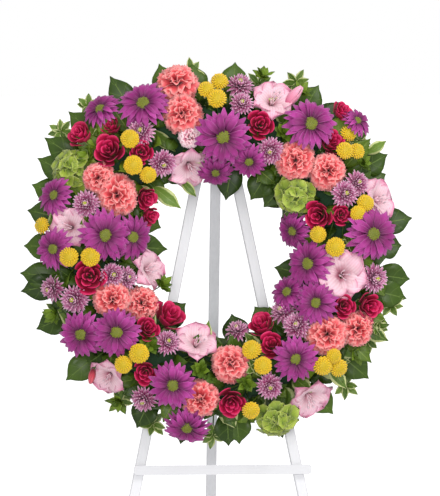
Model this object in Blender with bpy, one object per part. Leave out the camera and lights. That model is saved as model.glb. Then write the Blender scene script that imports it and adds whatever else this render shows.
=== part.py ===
"""A round funeral wreath of fresh flowers, hung on a white three-legged wooden easel.

The flowers stand on stems in a ring of wet floral foam. The foam sits in a plastic tray ring, which
hangs by a wire loop from a nail in the easel's head and leans on its two front legs. The rear leg
swings on a rivet between the front legs, from fully open, where its bevelled top meets the back of
the head plate, to folded flat between them.

Units are metres. +Z is up, the wreath faces -Y, and the origin is on the floor under the easel.
"""

import math
from collections import namedtuple

import bmesh
import bpy
import numpy as np
from mathutils import Matrix, Vector

# Easel. A point on its front is given across (X), along the slope of the front legs from the floor,
# and proud of the front legs' front faces.
LEAN = math.radians(10.0)  # the front legs lean back
REAR_LEAN = math.radians(20.0)  # the rear leg leans the other way
LEG_WIDTH = 0.016
LEG_DEPTH = 0.019
REAR_DEPTH = 0.014
APEX_ALONG = 1.389  # where the front legs' centre lines would meet
LEG_TOP_ALONG = 1.335
LATH_BELOW = 1.7  # of each leg's blank, below its top joint, before its foot is cut
LATH_ABOVE = 0.2
SPLAY_SLOPE = 0.2034  # across per along, for each front leg
EDGE_CHAMFER = 0.0012
PIVOT_ALONG = 1.296
REAR_TOP = 0.010  # the rear leg's end above its pivot
RIVET_RADIUS = 0.003
RIVET_OVERLAP = 0.001  # of the rivet's shank into each of its heads
RIVET_HEAD_RADIUS = 0.006
RIVET_HEAD_HEIGHT = 0.003
RUNNING_GAP = 0.0003
SEAT_GAP = 0.0003
CROSSBAR_ALONG = 0.781
CROSSBAR_HEIGHT = 0.015
CROSSBAR_DEPTH = 0.010
CROSSBAR_LEFT = -0.133
CROSSBAR_RIGHT = 0.145
CROSSBAR_ROUND = 0.005
PLATE_WIDTH = 0.060
PLATE_ROUND = 0.010
PLATE_DEPTH = 0.008
PLATE_LOW_ALONG = 1.280
PLATE_TOP_ALONG = 1.380
NAIL_RADIUS = 0.0018
NAIL_DEPTH = 0.006  # in the head plate
NAIL_PROUD = 0.021
NAIL_CAP_RADIUS = 0.0036
NAIL_CAP_BEHIND = 0.0006
NAIL_CAP_AHEAD = 0.0012
NAIL_ALONG = 1.368

# Ring. Places in the wreath are across, up from its centre and ahead of the tray's flat back.
WREATH_ALONG = 1.120
RING_RADIUS = 0.197  # to the middle of the foam's section
SECTION_AHEAD = 0.024  # from the tray's back to the middle of the foam's section
TRAY_INNER = 0.158
TRAY_OUTER = 0.236
TRAY_WALL = 0.0022
TRAY_BASE = 0.0025
TRAY_HEIGHT = 0.016
FOAM_STEP = 0.0004  # the foam's gap to the tray
FOAM_CROWN = 0.0325  # the foam's front, from the middle of its section
RING_STEPS = 24
LOOP_RADIUS = 0.0009
LOOP_HALF_WIDTH = 0.024
LOOP_AHEAD = 0.0125
LOOP_LOW_UP = 0.2235  # the ends of the wire, in the foam
LOOP_BEND_UP = 0.2390
LOOP_SLACK = 1.6  # of the wire's radius, between the nail's side and the wire's middle
LEG_CONTACT_UP = -0.212  # where the tray's rim meets the front legs

# Stems. Side branches of each kind run in a layer of their own over the foam.
STEM_RADIUS = 0.0015
HOLE_GAP = 0.0006  # at the corners of a three-sided hole, twice what it is at its sides
STEM_END = 0.0185  # from the middle of the foam's section to the end of a stem in it
LINK_START = 0.3  # how far along its way a side branch has come down to its layer
LINK_STEP = 0.038  # between the points of a side branch
FOAM_CLEAR = 0.0420  # past the foam's surface everywhere
CLEAR = 0.0006  # left between neighbouring flowers
CORE = 0.0035  # kept round the heart of each head, whatever presses on it
HEAD_BACK = 0.0235  # no head reaches further back than this; the leaves lie behind it
NEAR = 0.004  # past both radii, where two heads are still looked at
STEM_NEAR = 0.09  # from a stem's end, where other stems are still looked at
STEM_PASS = 2.0 * STEM_RADIUS + 0.0006  # between the middles of two stems that pass each other

Kind = namedtuple("Kind", "colour heart layer petals points foot crown rings")
Ring = namedtuple("Ring", "reach height notch_reach notch_height turn")

# Each head is a globe whose rings of points are drawn out into petals. Reach and height are shares
# of the head's radius, from its heart; a ring with no notch has one point for each petal.
KINDS = {
    "daisy": Kind(
        (0.47, 0.07, 0.36), 0.082, 0.0492, 9, 3, -0.17, 0.15,
        (Ring(1.0, 0.07, 0.36, 0.0, 0), Ring(0.23, 0.12, None, None, 0)),
    ),
    "rose": Kind(
        (0.60, 0.02, 0.12), 0.064, 0.0424, 5, 2, -0.28, 0.98,
        (
            Ring(1.0, 0.52, 0.82, 0.36, 0),
            Ring(0.74, 0.62, None, None, 0),
            Ring(0.68, 0.93, 0.56, 0.78, 1),
            Ring(0.30, 1.04, None, None, 0),
        ),
    ),
    "carnation": Kind(
        (0.85, 0.20, 0.17), 0.066, 0.0458, 7, 2, -0.22, 0.80,
        (
            Ring(1.0, 0.30, 0.78, 0.16, 0),
            Ring(0.84, 0.60, 0.68, 0.46, 1),
            Ring(0.56, 0.84, 0.42, 0.66, 0),
        ),
    ),
    "gladiolus": Kind(
        (0.88, 0.62, 0.66), 0.068, 0.0390, 6, 3, -0.25, 0.26,
        (
            Ring(0.34, 0.10, None, None, 0),
            Ring(1.0, 0.70, 0.60, 0.52, 0),
            Ring(0.24, 0.42, None, None, 0),
        ),
    ),
    "button": Kind(
        (0.90, 0.62, 0.03), 0.088, 0.0560, 5, 2, -0.34, 0.80,
        (Ring(1.0, 0.05, 0.86, 0.05, 0), Ring(0.66, 0.60, None, None, 1)),
    ),
    "cushion": Kind(
        (0.55, 0.22, 0.47), 0.074, 0.0526, 8, 2, -0.30, 0.34,
        (Ring(1.0, 0.12, 0.58, 0.08, 0), Ring(0.70, 0.50, 0.38, 0.34, 1)),
    ),
    "hydrangea": Kind(
        (0.42, 0.52, 0.10), 0.066, 0.0390, 9, 2, -0.22, 0.86,
        (
            Ring(1.0, 0.20, 0.72, 0.22, 0),
            Ring(0.82, 0.62, 0.58, 0.50, 1),
            Ring(0.44, 0.88, 0.24, 0.70, 0),
        ),
    ),
}
CALYX = 0.17  # reach of the four points round the foot, which the stem passes between
NECK_TURN = 0.35  # how far a head turns from its stem's line towards the front

# The planting: for each spray its kind and its heads, each (across, up, diameter) in the wreath's
# face. The first head of a spray stands on the stem that enters the foam.
SPRAYS = {
    "daisy_spray_1": ("daisy", (-0.115, 0.226, 0.080), (-0.180, 0.219, 0.062)),
    "daisy_spray_2": ("daisy", (0.006, 0.177, 0.086), (-0.005, 0.127, 0.056), (0.047, 0.141, 0.056)),
    "daisy_spray_3": (
        "daisy", (-0.178, 0.025, 0.080), (-0.138, 0.023, 0.072), (-0.253, 0.005, 0.066),
        (-0.251, 0.087, 0.062),
    ),
    "daisy_spray_4": ("daisy", (-0.212, -0.126, 0.074), (-0.160, -0.124, 0.076)),
    "daisy_spray_5": ("daisy", (-0.074, -0.205, 0.074), (-0.050, -0.267, 0.072)),
    "daisy_spray_6": ("daisy", (0.140, 0.194, 0.084), (0.214, 0.200, 0.050)),
    "daisy_spray_7": (
        "daisy", (0.149, -0.081, 0.066), (0.109, -0.065, 0.062), (0.141, -0.020, 0.076),
        (0.119, 0.033, 0.060), (0.234, 0.025, 0.084), (0.115, -0.167, 0.070),
    ),
    "rose_spray_1": (
        "rose", (-0.167, 0.155, 0.050), (-0.163, 0.192, 0.034), (-0.209, 0.180, 0.042),
        (-0.121, 0.155, 0.040),
    ),
    "rose_spray_2": ("rose", (-0.115, 0.088, 0.036), (-0.110, 0.060, 0.032)),
    "rose_spray_3": ("rose", (0.172, 0.167, 0.042), (0.190, 0.214, 0.034), (0.064, 0.195, 0.044)),
    "rose_spray_4": ("rose", (0.157, 0.056, 0.046), (0.189, 0.056, 0.032)),
    "rose_spray_5": (
        "rose", (-0.113, -0.121, 0.038), (-0.081, -0.104, 0.050), (-0.115, -0.184, 0.038),
        (-0.200, -0.037, 0.052),
    ),
    "rose_spray_6": ("rose", (0.082, -0.147, 0.042), (0.070, -0.118, 0.044), (0.017, -0.229, 0.046)),
    "rose_spray_7": ("rose", (0.191, -0.084, 0.038), (0.228, -0.084, 0.044)),
    "carnations_1": ("carnation", (-0.056, 0.214, 0.062), (-0.062, 0.264, 0.066), (-0.045, 0.177, 0.036)),
    "carnations_2": ("carnation", (-0.157, 0.088, 0.066), (-0.186, 0.115, 0.050)),
    "carnations_3": ("carnation", (0.169, 0.124, 0.058), (0.119, 0.140, 0.062)),
    "carnations_4": ("carnation", (-0.166, -0.073, 0.058), (-0.119, -0.078, 0.056)),
    "carnations_5": ("carnation", (0.017, -0.172, 0.060), (-0.031, -0.228, 0.060)),
    "carnations_6": ("carnation", (0.166, -0.129, 0.064), (0.214, -0.121, 0.056)),
    "gladiolus_1": ("gladiolus", (-0.045, 0.133, 0.070)),
    "gladiolus_2": ("gladiolus", (-0.231, 0.039, 0.066), (-0.110, -0.026, 0.064)),
    "gladiolus_3": ("gladiolus", (0.084, 0.233, 0.074)),
    "gladiolus_4": ("gladiolus", (0.188, -0.037, 0.084), (0.248, 0.082, 0.068)),
    "gladiolus_5": ("gladiolus", (-0.036, -0.141, 0.070), (-0.172, -0.191, 0.060)),
    "gladiolus_6": ("gladiolus", (0.140, -0.226, 0.072)),
    "button_spray_1": ("button", (-0.003, 0.236, 0.030), (0.002, 0.264, 0.028), (-0.019, 0.251, 0.026)),
    "button_spray_2": ("button", (-0.133, 0.133, 0.030), (-0.138, 0.174, 0.029), (-0.110, 0.118, 0.026)),
    "button_spray_3": ("button", (-0.200, -0.008, 0.030), (-0.233, -0.008, 0.030), (-0.274, 0.042, 0.026)),
    "button_spray_4": (
        "button", (0.195, 0.155, 0.028), (0.202, 0.183, 0.026), (0.215, 0.155, 0.025),
        (0.226, 0.073, 0.027), (0.214, 0.057, 0.025), (0.178, 0.005, 0.030), (0.152, 0.025, 0.026),
    ),
    "button_spray_5": ("button", (-0.126, -0.157, 0.031), (-0.150, -0.174, 0.028)),
    "button_spray_6": (
        "button", (0.048, -0.152, 0.030), (0.065, -0.177, 0.028), (0.047, -0.246, 0.028),
        (0.158, -0.178, 0.030), (0.183, -0.181, 0.029), (0.175, -0.163, 0.024),
    ),
    "cushion_spray_1": ("cushion", (-0.121, 0.186, 0.042), (-0.087, 0.136, 0.042)),
    "cushion_spray_2": (
        "cushion", (-0.166, -0.036, 0.038), (-0.144, -0.040, 0.036), (-0.225, -0.073, 0.043),
        (-0.259, -0.056, 0.040), (-0.206, 0.074, 0.042),
    ),
    "cushion_spray_3": ("cushion", (0.036, 0.229, 0.036), (0.034, 0.259, 0.042), (0.079, 0.155, 0.041)),
    "cushion_spray_4": ("cushion", (0.195, 0.088, 0.041), (0.214, 0.105, 0.038), (0.240, -0.043, 0.044)),
    "cushion_spray_5": (
        "cushion", (0.119, -0.115, 0.043), (0.098, -0.093, 0.040), (0.076, -0.209, 0.040),
        (0.028, -0.122, 0.036), (-0.081, -0.140, 0.038), (-0.118, -0.228, 0.040),
    ),
    "hydrangea_1": ("hydrangea", (-0.225, 0.126, 0.066)),
    "hydrangea_2": ("hydrangea", (0.119, 0.088, 0.060)),
    "hydrangea_3": ("hydrangea", (0.088, -0.257, 0.062)),
}
HEAD_TILT_LIMIT = math.radians(68.0)  # no stem stands further over than this from the front

# Leaves: for each branch its reach round the ring, as the clock angles of its ends in degrees from
# +X, and its leaves, each (across, up) of the tip, in the wreath's face.
OUTER_LEAVES = {
    "salal_right": (
        (-52.0, 64.0),
        ((0.195, 0.236), (0.267, 0.153), (0.264, 0.122), (0.305, 0.053), (0.301, -0.043),
         (0.295, -0.073), (0.235, -0.198), (0.288, 0.010), (0.160, 0.262)),
    ),
    "salal_left": (
        (68.0, 184.0),
        ((-0.270, 0.181), (-0.281, 0.149), (-0.167, 0.277), (-0.297, 0.068), (-0.038, 0.295),
         (0.029, 0.298), (-0.090, 0.296), (-0.232, 0.222), (-0.303, 0.012), (-0.290, 0.108)),
    ),
    "salal_low": (
        (188.0, 304.0),
        ((-0.309, -0.030), (-0.308, -0.059), (-0.238, -0.198), (-0.128, -0.273), (0.015, -0.302),
         (0.032, -0.299), (0.179, -0.253), (-0.284, -0.118), (0.100, -0.290), (-0.060, -0.298)),
    ),
}
INNER_LEAVES = {
    "salal_inner_top": ((44.0, 84.0), ((0.013, 0.081), (0.052, 0.082), (0.072, 0.071))),
    "salal_inner_left": ((154.0, 232.0), ((-0.078, 0.006), (-0.088, 0.039), (-0.050, -0.078))),
    "salal_inner_low": ((280.0, 306.0), ((0.057, -0.084), (0.021, -0.095))),
    "salal_inner_right": ((-16.0, 30.0), ((0.088, -0.023), (0.100, 0.054))),
}
SPRIGS = {
    "pittosporum_right": (
        (-50.0, 66.0),
        ((0.134, 0.287), (0.292, -0.090), (0.255, -0.150), (0.215, -0.225), (0.240, 0.190)),
    ),
    "pittosporum_left": (
        (70.0, 182.0),
        ((-0.043, 0.306), (-0.216, 0.248), (0.072, 0.287), (-0.262, 0.205)),
    ),
    "pittosporum_low": (
        (190.0, 272.0),
        ((-0.270, -0.098), (-0.167, -0.250), (-0.111, -0.288), (-0.010, -0.308)),
    ),
}
SALAL_OUTER_RADIUS = 0.2455
SALAL_AHEAD = 0.0216
PITTOSPORUM_RADIUS = 0.2405
PITTOSPORUM_AHEAD = 0.0180
INNER_RADIUS = 0.1500
INNER_SAG = 0.0025  # how far in the straight stretches of an inner arc may lie
TWIG_RADIUS = 0.0014
TWIG_STEP = math.radians(18.0)
PEG_DEPTH = 0.012
LEAF_WIDTH = 0.038
LEAF_THICKNESS = 0.0020
LEAF_LOW_AHEAD = 0.0180
WHORL_REACH = 0.024
WHORL_LEAVES = 6
SPRIG_LEAF_THICKNESS = 0.0022
SPRIG_BEND_AHEAD = 0.0125
SPRIG_TIP_AHEAD = 0.0100

WOOD = ((0.82, 0.82, 0.80), 0.45, 0.0)
STEEL = ((0.55, 0.55, 0.55), 0.35, 1.0)
PLASTIC = ((0.05, 0.16, 0.07), 0.50, 0.0)
FOAM = ((0.06, 0.20, 0.08), 0.95, 0.0)
SALAL = ((0.06, 0.13, 0.03), 0.35, 0.0)
PITTOSPORUM = ((0.25, 0.36, 0.14), 0.50, 0.0)
PETAL_ROUGHNESS = 0.6

DIRECTIONS_TRIED = 240  # when two flowers are parted
BULGES = (0.0, 0.2, -0.2, 0.4, -0.4, 0.6, -0.6, 0.9, -0.9, 1.2, -1.2)

Head = namedtuple("Head", "spray kind heart axis radius clock tilt")


def clear_scene():
    """Remove what the scene holds."""
    for obj in list(bpy.data.objects):
        bpy.data.objects.remove(obj)


def new_collection(name):
    """A collection under the scene's own."""
    collection = bpy.data.collections.new(name)
    bpy.context.scene.collection.children.link(collection)
    return collection


def new_material(name, colour, roughness, metallic=0.0):
    """A plain finish of one colour."""
    material = bpy.data.materials.new(name)
    material.use_nodes = True
    shader = material.node_tree.nodes["Principled BSDF"]
    shader.inputs["Base Color"].default_value = (*colour, 1.0)
    shader.inputs["Roughness"].default_value = roughness
    shader.inputs["Metallic"].default_value = metallic
    return material


def add_object(name, mesh, collection, parent=None, finish=None):
    """One sub-part, with its own material."""
    obj = bpy.data.objects.new(name, mesh)
    collection.objects.link(obj)
    obj.parent = parent
    if finish:
        mesh.materials.clear()
        mesh.materials.append(new_material(name, *finish))
    return obj


def mesh_from(bm, name):
    """Turn a bmesh into a mesh with its faces pointing out."""
    bmesh.ops.recalc_face_normals(bm, faces=bm.faces)
    mesh = bpy.data.meshes.new(name)
    bm.to_mesh(mesh)
    bm.free()
    return mesh


def box(low, high):
    """A bmesh box between two corners."""
    bm = bmesh.new()
    size = [b - a for a, b in zip(low, high)]
    centre = [(a + b) / 2.0 for a, b in zip(low, high)]
    bmesh.ops.create_cube(bm, size=1.0, matrix=Matrix.Translation(centre) @ Matrix.Diagonal((*size, 1.0)))
    return bm


def slice_off(bm, point, normal):
    """Cut away what lies past a plane and close the cut."""
    geometry = bm.verts[:] + bm.edges[:] + bm.faces[:]
    cut = bmesh.ops.bisect_plane(bm, geom=geometry, plane_co=point, plane_no=normal, clear_outer=True)
    edges = [item for item in cut["geom_cut"] if isinstance(item, bmesh.types.BMEdge)]
    bmesh.ops.contextual_create(bm, geom=edges)


def rod(start, end, radius, sides=10):
    """A round bar between two points."""
    start, end = Vector(start), Vector(end)
    bm = bmesh.new()
    turn = (end - start).to_track_quat("Z", "Y").to_matrix().to_4x4()
    bmesh.ops.create_cone(
        bm, cap_ends=True, segments=sides, radius1=radius, radius2=radius, depth=(end - start).length,
        matrix=Matrix.Translation((start + end) / 2.0) @ turn,
    )
    return bm


def section(sides, radius):
    """A small polygon that a stem's line is drawn out with."""
    curve = bpy.data.curves.new("section", "CURVE")
    spline = curve.splines.new("POLY")
    spline.points.add(sides - 1)
    spline.use_cyclic_u = True
    for corner, spot in enumerate(spline.points):
        turn = 2.0 * math.pi * corner / sides
        spot.co = (radius * math.cos(turn), radius * math.sin(turn), 0.0, 1.0)
    obj = bpy.data.objects.new("section", curve)
    bpy.context.scene.collection.objects.link(obj)
    return obj


def tube(points, radius, name="tube", sides=3):
    """A closed tube along points, with few sides, as a mesh whose caps are welded on."""
    curve = bpy.data.curves.new(name, "CURVE")
    curve.dimensions = "3D"
    outline = section(sides, radius)
    curve.bevel_mode = "OBJECT"
    curve.bevel_object = outline
    curve.use_fill_caps = True
    spline = curve.splines.new("POLY")
    spline.points.add(len(points) - 1)
    for spot, point in zip(spline.points, points):
        spot.co = (*point, 1.0)
    obj = bpy.data.objects.new(name, curve)
    bpy.context.scene.collection.objects.link(obj)
    graph = bpy.context.evaluated_depsgraph_get()
    mesh = bpy.data.meshes.new_from_object(obj.evaluated_get(graph))
    bpy.data.objects.remove(obj)
    bpy.data.objects.remove(outline)
    bm = bmesh.new()
    bm.from_mesh(mesh)
    bmesh.ops.remove_doubles(bm, verts=bm.verts, dist=0.00001)
    bmesh.ops.triangulate(bm, faces=bm.faces)
    bmesh.ops.recalc_face_normals(bm, faces=bm.faces)
    bm.to_mesh(mesh)
    bm.free()
    return mesh


def join(obj, meshes, operation="UNION", solver="MANIFOLD"):
    """Join meshes to an object, or cut them from it, with one Boolean that is applied."""
    if not meshes:
        return
    group = new_collection(obj.name + "_joined")
    bpy.context.view_layer.update()
    for mesh in meshes:
        member = add_object(obj.name + "_piece", mesh, group)
        member.matrix_world = obj.matrix_world
        member.hide_render = True
        member.display_type = "WIRE"
    modifier = obj.modifiers.new("join", "BOOLEAN")
    modifier.operation = operation
    modifier.operand_type = "COLLECTION"
    modifier.collection = group
    modifier.solver = solver
    bpy.context.view_layer.update()
    graph = bpy.context.evaluated_depsgraph_get()
    joined = bpy.data.meshes.new_from_object(obj.evaluated_get(graph))
    finish = obj.data.materials[0]
    obj.modifiers.clear()
    obj.data = joined
    joined.materials.clear()
    joined.materials.append(finish)
    for member in list(group.objects):
        bpy.data.objects.remove(member)
    bpy.data.collections.remove(group)


def front_point(across, along, proud):
    """A point on the easel's front, in the front frame's own axes."""
    return Vector((across, -proud, along))


def wreath_point(across, up, ahead):
    """A point of the wreath, in the wreath's own axes."""
    return Vector((across, -ahead, up))


def add_front_frame():
    """The empty that the front legs and the wreath hang on, set so that the feet straddle the origin."""
    rise = PIVOT_ALONG * math.cos(LEAN)
    back = PIVOT_ALONG * math.sin(LEAN) + rise * math.tan(REAR_LEAN) + REAR_DEPTH / math.cos(REAR_LEAN)
    frame = bpy.data.objects.new("front_frame", None)
    frame.location = (0.0, -back / 2.0, 0.0)
    frame.rotation_euler = (-LEAN, 0.0, 0.0)
    bpy.context.scene.collection.objects.link(frame)
    return frame


def add_front_legs(frame, collection):
    """Two laths that meet in a mitre at the top and stand flat on the floor."""
    floor_normal = Vector((0.0, math.sin(LEAN), -math.cos(LEAN)))
    for side, name in ((-1.0, "front_leg_left"), (1.0, "front_leg_right")):
        bm = box((-LEG_WIDTH / 2.0, 0.0, -LATH_BELOW), (LEG_WIDTH / 2.0, LEG_DEPTH, LATH_ABOVE))
        spread = Matrix.Rotation(-side * math.atan(SPLAY_SLOPE), 4, "Y")
        bmesh.ops.transform(bm, matrix=Matrix.Translation((0.0, 0.0, APEX_ALONG)) @ spread, verts=bm.verts)
        bmesh.ops.bevel(
            bm, geom=bm.edges[:], offset=EDGE_CHAMFER, affect="EDGES", segments=1, profile=0.5, material=-1,
        )
        slice_off(bm, (0.0, 0.0, LEG_TOP_ALONG), (0.0, 0.0, 1.0))
        slice_off(bm, (side * SEAT_GAP / 2.0, 0.0, 0.0), (-side, 0.0, 0.0))
        slice_off(bm, (0.0, 0.0, 0.0), floor_normal)
        leg = add_object(name, mesh_from(bm, name), collection, frame, WOOD)
        reach = LEG_WIDTH * 4.0
        middle = LEG_DEPTH / 2.0
        hole = rod((-reach, middle, PIVOT_ALONG), (reach, middle, PIVOT_ALONG), RIVET_RADIUS + RUNNING_GAP)
        join(leg, [mesh_from(hole, "rivet_hole")], "DIFFERENCE", "EXACT")


def add_crossbar(frame, collection):
    """The rail across the three legs' fronts, with its ends rounded off."""
    bm = box(
        (CROSSBAR_LEFT, -SEAT_GAP - CROSSBAR_DEPTH, CROSSBAR_ALONG - CROSSBAR_HEIGHT / 2.0),
        (CROSSBAR_RIGHT, -SEAT_GAP, CROSSBAR_ALONG + CROSSBAR_HEIGHT / 2.0),
    )
    ends = [edge for edge in bm.edges if abs(edge.verts[0].co.y - edge.verts[1].co.y) > CROSSBAR_DEPTH / 2.0]
    bmesh.ops.bevel(
        bm, geom=ends, offset=CROSSBAR_ROUND, affect="EDGES", segments=3, profile=0.5, material=-1,
    )
    add_object("crossbar", mesh_from(bm, "crossbar"), collection, frame, WOOD)


def add_head_plate(frame, collection):
    """The plate across the tops of the front legs, with a hole for the nail."""
    bm = box(
        (-PLATE_WIDTH / 2.0, -SEAT_GAP - PLATE_DEPTH, PLATE_LOW_ALONG),
        (PLATE_WIDTH / 2.0, -SEAT_GAP, PLATE_TOP_ALONG),
    )
    corners = [edge for edge in bm.edges if abs(edge.verts[0].co.y - edge.verts[1].co.y) > PLATE_DEPTH / 2.0]
    bmesh.ops.bevel(
        bm, geom=corners, offset=PLATE_ROUND, affect="EDGES", segments=3, profile=0.5, material=-1,
    )
    plate = add_object("head_plate", mesh_from(bm, "head_plate"), collection, frame, WOOD)
    front = -SEAT_GAP - PLATE_DEPTH
    hole = rod(
        (0.0, front + NAIL_DEPTH + SEAT_GAP, NAIL_ALONG), (0.0, front - PLATE_DEPTH, NAIL_ALONG),
        NAIL_RADIUS + SEAT_GAP,
    )
    join(plate, [mesh_from(hole, "nail_hole")], "DIFFERENCE", "EXACT")


def add_nail(frame, collection):
    """The nail that the wreath's loop hangs on, with a flat head."""
    front = -SEAT_GAP - PLATE_DEPTH
    end = front - NAIL_PROUD
    bm = rod((0.0, front + NAIL_DEPTH, NAIL_ALONG), (0.0, end, NAIL_ALONG), NAIL_RADIUS)
    nail = add_object("hanging_nail", mesh_from(bm, "hanging_nail"), collection, frame, STEEL)
    cap = rod(
        (0.0, end + NAIL_CAP_BEHIND, NAIL_ALONG), (0.0, end - NAIL_CAP_AHEAD, NAIL_ALONG), NAIL_CAP_RADIUS,
    )
    join(nail, [mesh_from(cap, "nail_cap")])


def add_pivot(frame, collection):
    """The rivet through the three legs' tops, and the rear leg that swings on it."""
    middle = LEG_DEPTH / 2.0
    across = (APEX_ALONG - PIVOT_ALONG) * SPLAY_SLOPE
    leg = LEG_WIDTH / 2.0 / math.cos(math.atan(SPLAY_SLOPE))
    half = across + leg + SPLAY_SLOPE * RIVET_HEAD_RADIUS + SEAT_GAP
    end = half + RIVET_OVERLAP
    bm = rod((-end, middle, PIVOT_ALONG), (end, middle, PIVOT_ALONG), RIVET_RADIUS)
    rivet = add_object("pivot_rivet", mesh_from(bm, "pivot_rivet"), collection, frame, STEEL)
    heads = []
    for side in (-1.0, 1.0):
        start = (side * half, middle, PIVOT_ALONG)
        end = (side * (half + RIVET_HEAD_HEIGHT), middle, PIVOT_ALONG)
        heads.append(mesh_from(rod(start, end, RIVET_HEAD_RADIUS), "rivet_head"))
    join(rivet, heads)

    pivot = bpy.data.objects.new("rear_pivot", None)
    pivot.location = (0.0, middle, PIVOT_ALONG)
    pivot.rotation_euler = (LEAN + REAR_LEAN, 0.0, 0.0)
    pivot.parent = frame
    bpy.context.scene.collection.objects.link(pivot)
    depth = REAR_DEPTH / 2.0
    bm = box((-LEG_WIDTH / 2.0, -depth, -LATH_BELOW), (LEG_WIDTH / 2.0, depth, REAR_TOP))
    bmesh.ops.bevel(
        bm, geom=bm.edges[:], offset=EDGE_CHAMFER, affect="EDGES", segments=1, profile=0.5, material=-1,
    )
    bpy.context.view_layer.update()
    local = pivot.matrix_world.inverted()
    down = local.to_3x3() @ Vector((0.0, 0.0, -1.0))
    slice_off(bm, local @ Vector((0.0, 0.0, 0.0)), down)
    ahead = local.to_3x3() @ (frame.matrix_world.to_3x3() @ Vector((0.0, -1.0, 0.0)))
    slice_off(bm, ahead * (middle - SEAT_GAP), ahead)
    leg = add_object("rear_leg", mesh_from(bm, "rear_leg"), collection, pivot, WOOD)
    hole = rod((-LEG_WIDTH, 0.0, 0.0), (LEG_WIDTH, 0.0, 0.0), RIVET_RADIUS + RUNNING_GAP)
    join(leg, [mesh_from(hole, "rear_hole")], "DIFFERENCE", "EXACT")


def add_wreath_frame(frame):
    """The empty at the wreath's centre: the ring leans on the head plate above and the legs below."""
    lower = -LEG_CONTACT_UP
    tilt = math.atan((PLATE_DEPTH + SEAT_GAP) / (lower + PLATE_LOW_ALONG - WREATH_ALONG))
    wreath = bpy.data.objects.new("wreath_frame", None)
    wreath.location = front_point(0.0, WREATH_ALONG, SEAT_GAP + lower * math.tan(tilt))
    wreath.rotation_euler = (tilt, 0.0, 0.0)
    wreath.parent = frame
    bpy.context.scene.collection.objects.link(wreath)
    bpy.context.view_layer.update()
    return wreath


def turned(profile, steps=RING_STEPS):
    """Turn a closed profile of (radius, ahead) points once round the wreath's axis."""
    bm = bmesh.new()
    spots = [bm.verts.new(wreath_point(radius, 0.0, ahead)) for radius, ahead in profile]
    edges = [bm.edges.new((a, b)) for a, b in zip(spots, spots[1:] + spots[:1])]
    bmesh.ops.spin(
        bm, geom=spots + edges, cent=(0.0, 0.0, 0.0), axis=(0.0, 1.0, 0.0), angle=2.0 * math.pi, steps=steps,
        use_merge=True,
    )
    bmesh.ops.remove_doubles(bm, verts=bm.verts, dist=0.00001)
    return mesh_from(bm, "turned")


def add_ring(wreath, collection, holes):
    """The tray with its wall holes for the loop, and the foam with a hole for each stem."""
    inner, outer = TRAY_INNER, TRAY_OUTER
    tray = turned((
        (inner, 0.0), (outer, 0.0), (outer, TRAY_HEIGHT), (outer - TRAY_WALL, TRAY_HEIGHT),
        (outer - TRAY_WALL, TRAY_BASE), (inner + TRAY_WALL, TRAY_BASE), (inner + TRAY_WALL, TRAY_HEIGHT),
        (inner, TRAY_HEIGHT),
    ))
    tray_object = add_object("ring_tray", tray, collection, wreath, PLASTIC)
    half = (outer - inner) / 2.0 - TRAY_WALL - FOAM_STEP
    floor = TRAY_BASE + FOAM_STEP
    profile = [(RING_RADIUS - half, floor), (RING_RADIUS + half, floor)]
    for step in range(7):
        turn = math.pi * step / 6.0
        profile.append((RING_RADIUS + half * math.cos(turn), SECTION_AHEAD + FOAM_CROWN * math.sin(turn)))
    foam = add_object("foam_ring", turned(profile), collection, wreath, FOAM)
    loop_holes = [loop_end(side, HOLE_GAP) for side in (-1.0, 1.0)]
    join(foam, holes + loop_holes, "DIFFERENCE")
    join(tray_object, [loop_end(side, HOLE_GAP) for side in (-1.0, 1.0)], "DIFFERENCE")


def loop_end(side, spare):
    """The bar, or hole, of one end of the hanging loop, from inside the foam to over the tray's rim."""
    low = wreath_point(side * LOOP_HALF_WIDTH, LOOP_LOW_UP - spare, LOOP_AHEAD)
    high = wreath_point(side * LOOP_HALF_WIDTH, LOOP_BEND_UP, LOOP_AHEAD)
    return tube((low, high), LOOP_RADIUS + spare, sides=4)


def add_loop(wreath, collection):
    """The wire from the foam over the nail and back."""
    local = wreath.matrix_local.inverted()
    nail = local @ front_point(0.0, NAIL_ALONG, 0.0)
    nail_up = nail.z + LOOP_AHEAD * math.tan(wreath.rotation_euler.x)
    bend = NAIL_RADIUS + SEAT_GAP + LOOP_RADIUS * LOOP_SLACK
    points = [wreath_point(-LOOP_HALF_WIDTH, LOOP_LOW_UP, LOOP_AHEAD)]
    points.append(wreath_point(-LOOP_HALF_WIDTH, LOOP_BEND_UP, LOOP_AHEAD))
    for degrees in (150.0, 120.0, 90.0, 60.0, 30.0):
        turn = math.radians(degrees)
        points.append(wreath_point(bend * math.cos(turn), nail_up + bend * math.sin(turn), LOOP_AHEAD))
    points.append(wreath_point(LOOP_HALF_WIDTH, LOOP_BEND_UP, LOOP_AHEAD))
    points.append(wreath_point(LOOP_HALF_WIDTH, LOOP_LOW_UP, LOOP_AHEAD))
    add_object("hanging_loop", tube(points, LOOP_RADIUS, "hanging_loop", sides=4), collection, wreath, STEEL)


def shell_point(clock, tilt, distance):
    """A point round the foam: clock angle round the ring, tilt from the front and distance from it."""
    radius = RING_RADIUS + distance * math.sin(tilt)
    ahead = SECTION_AHEAD + distance * math.cos(tilt)
    return wreath_point(radius * math.cos(clock), radius * math.sin(clock), ahead)


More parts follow.
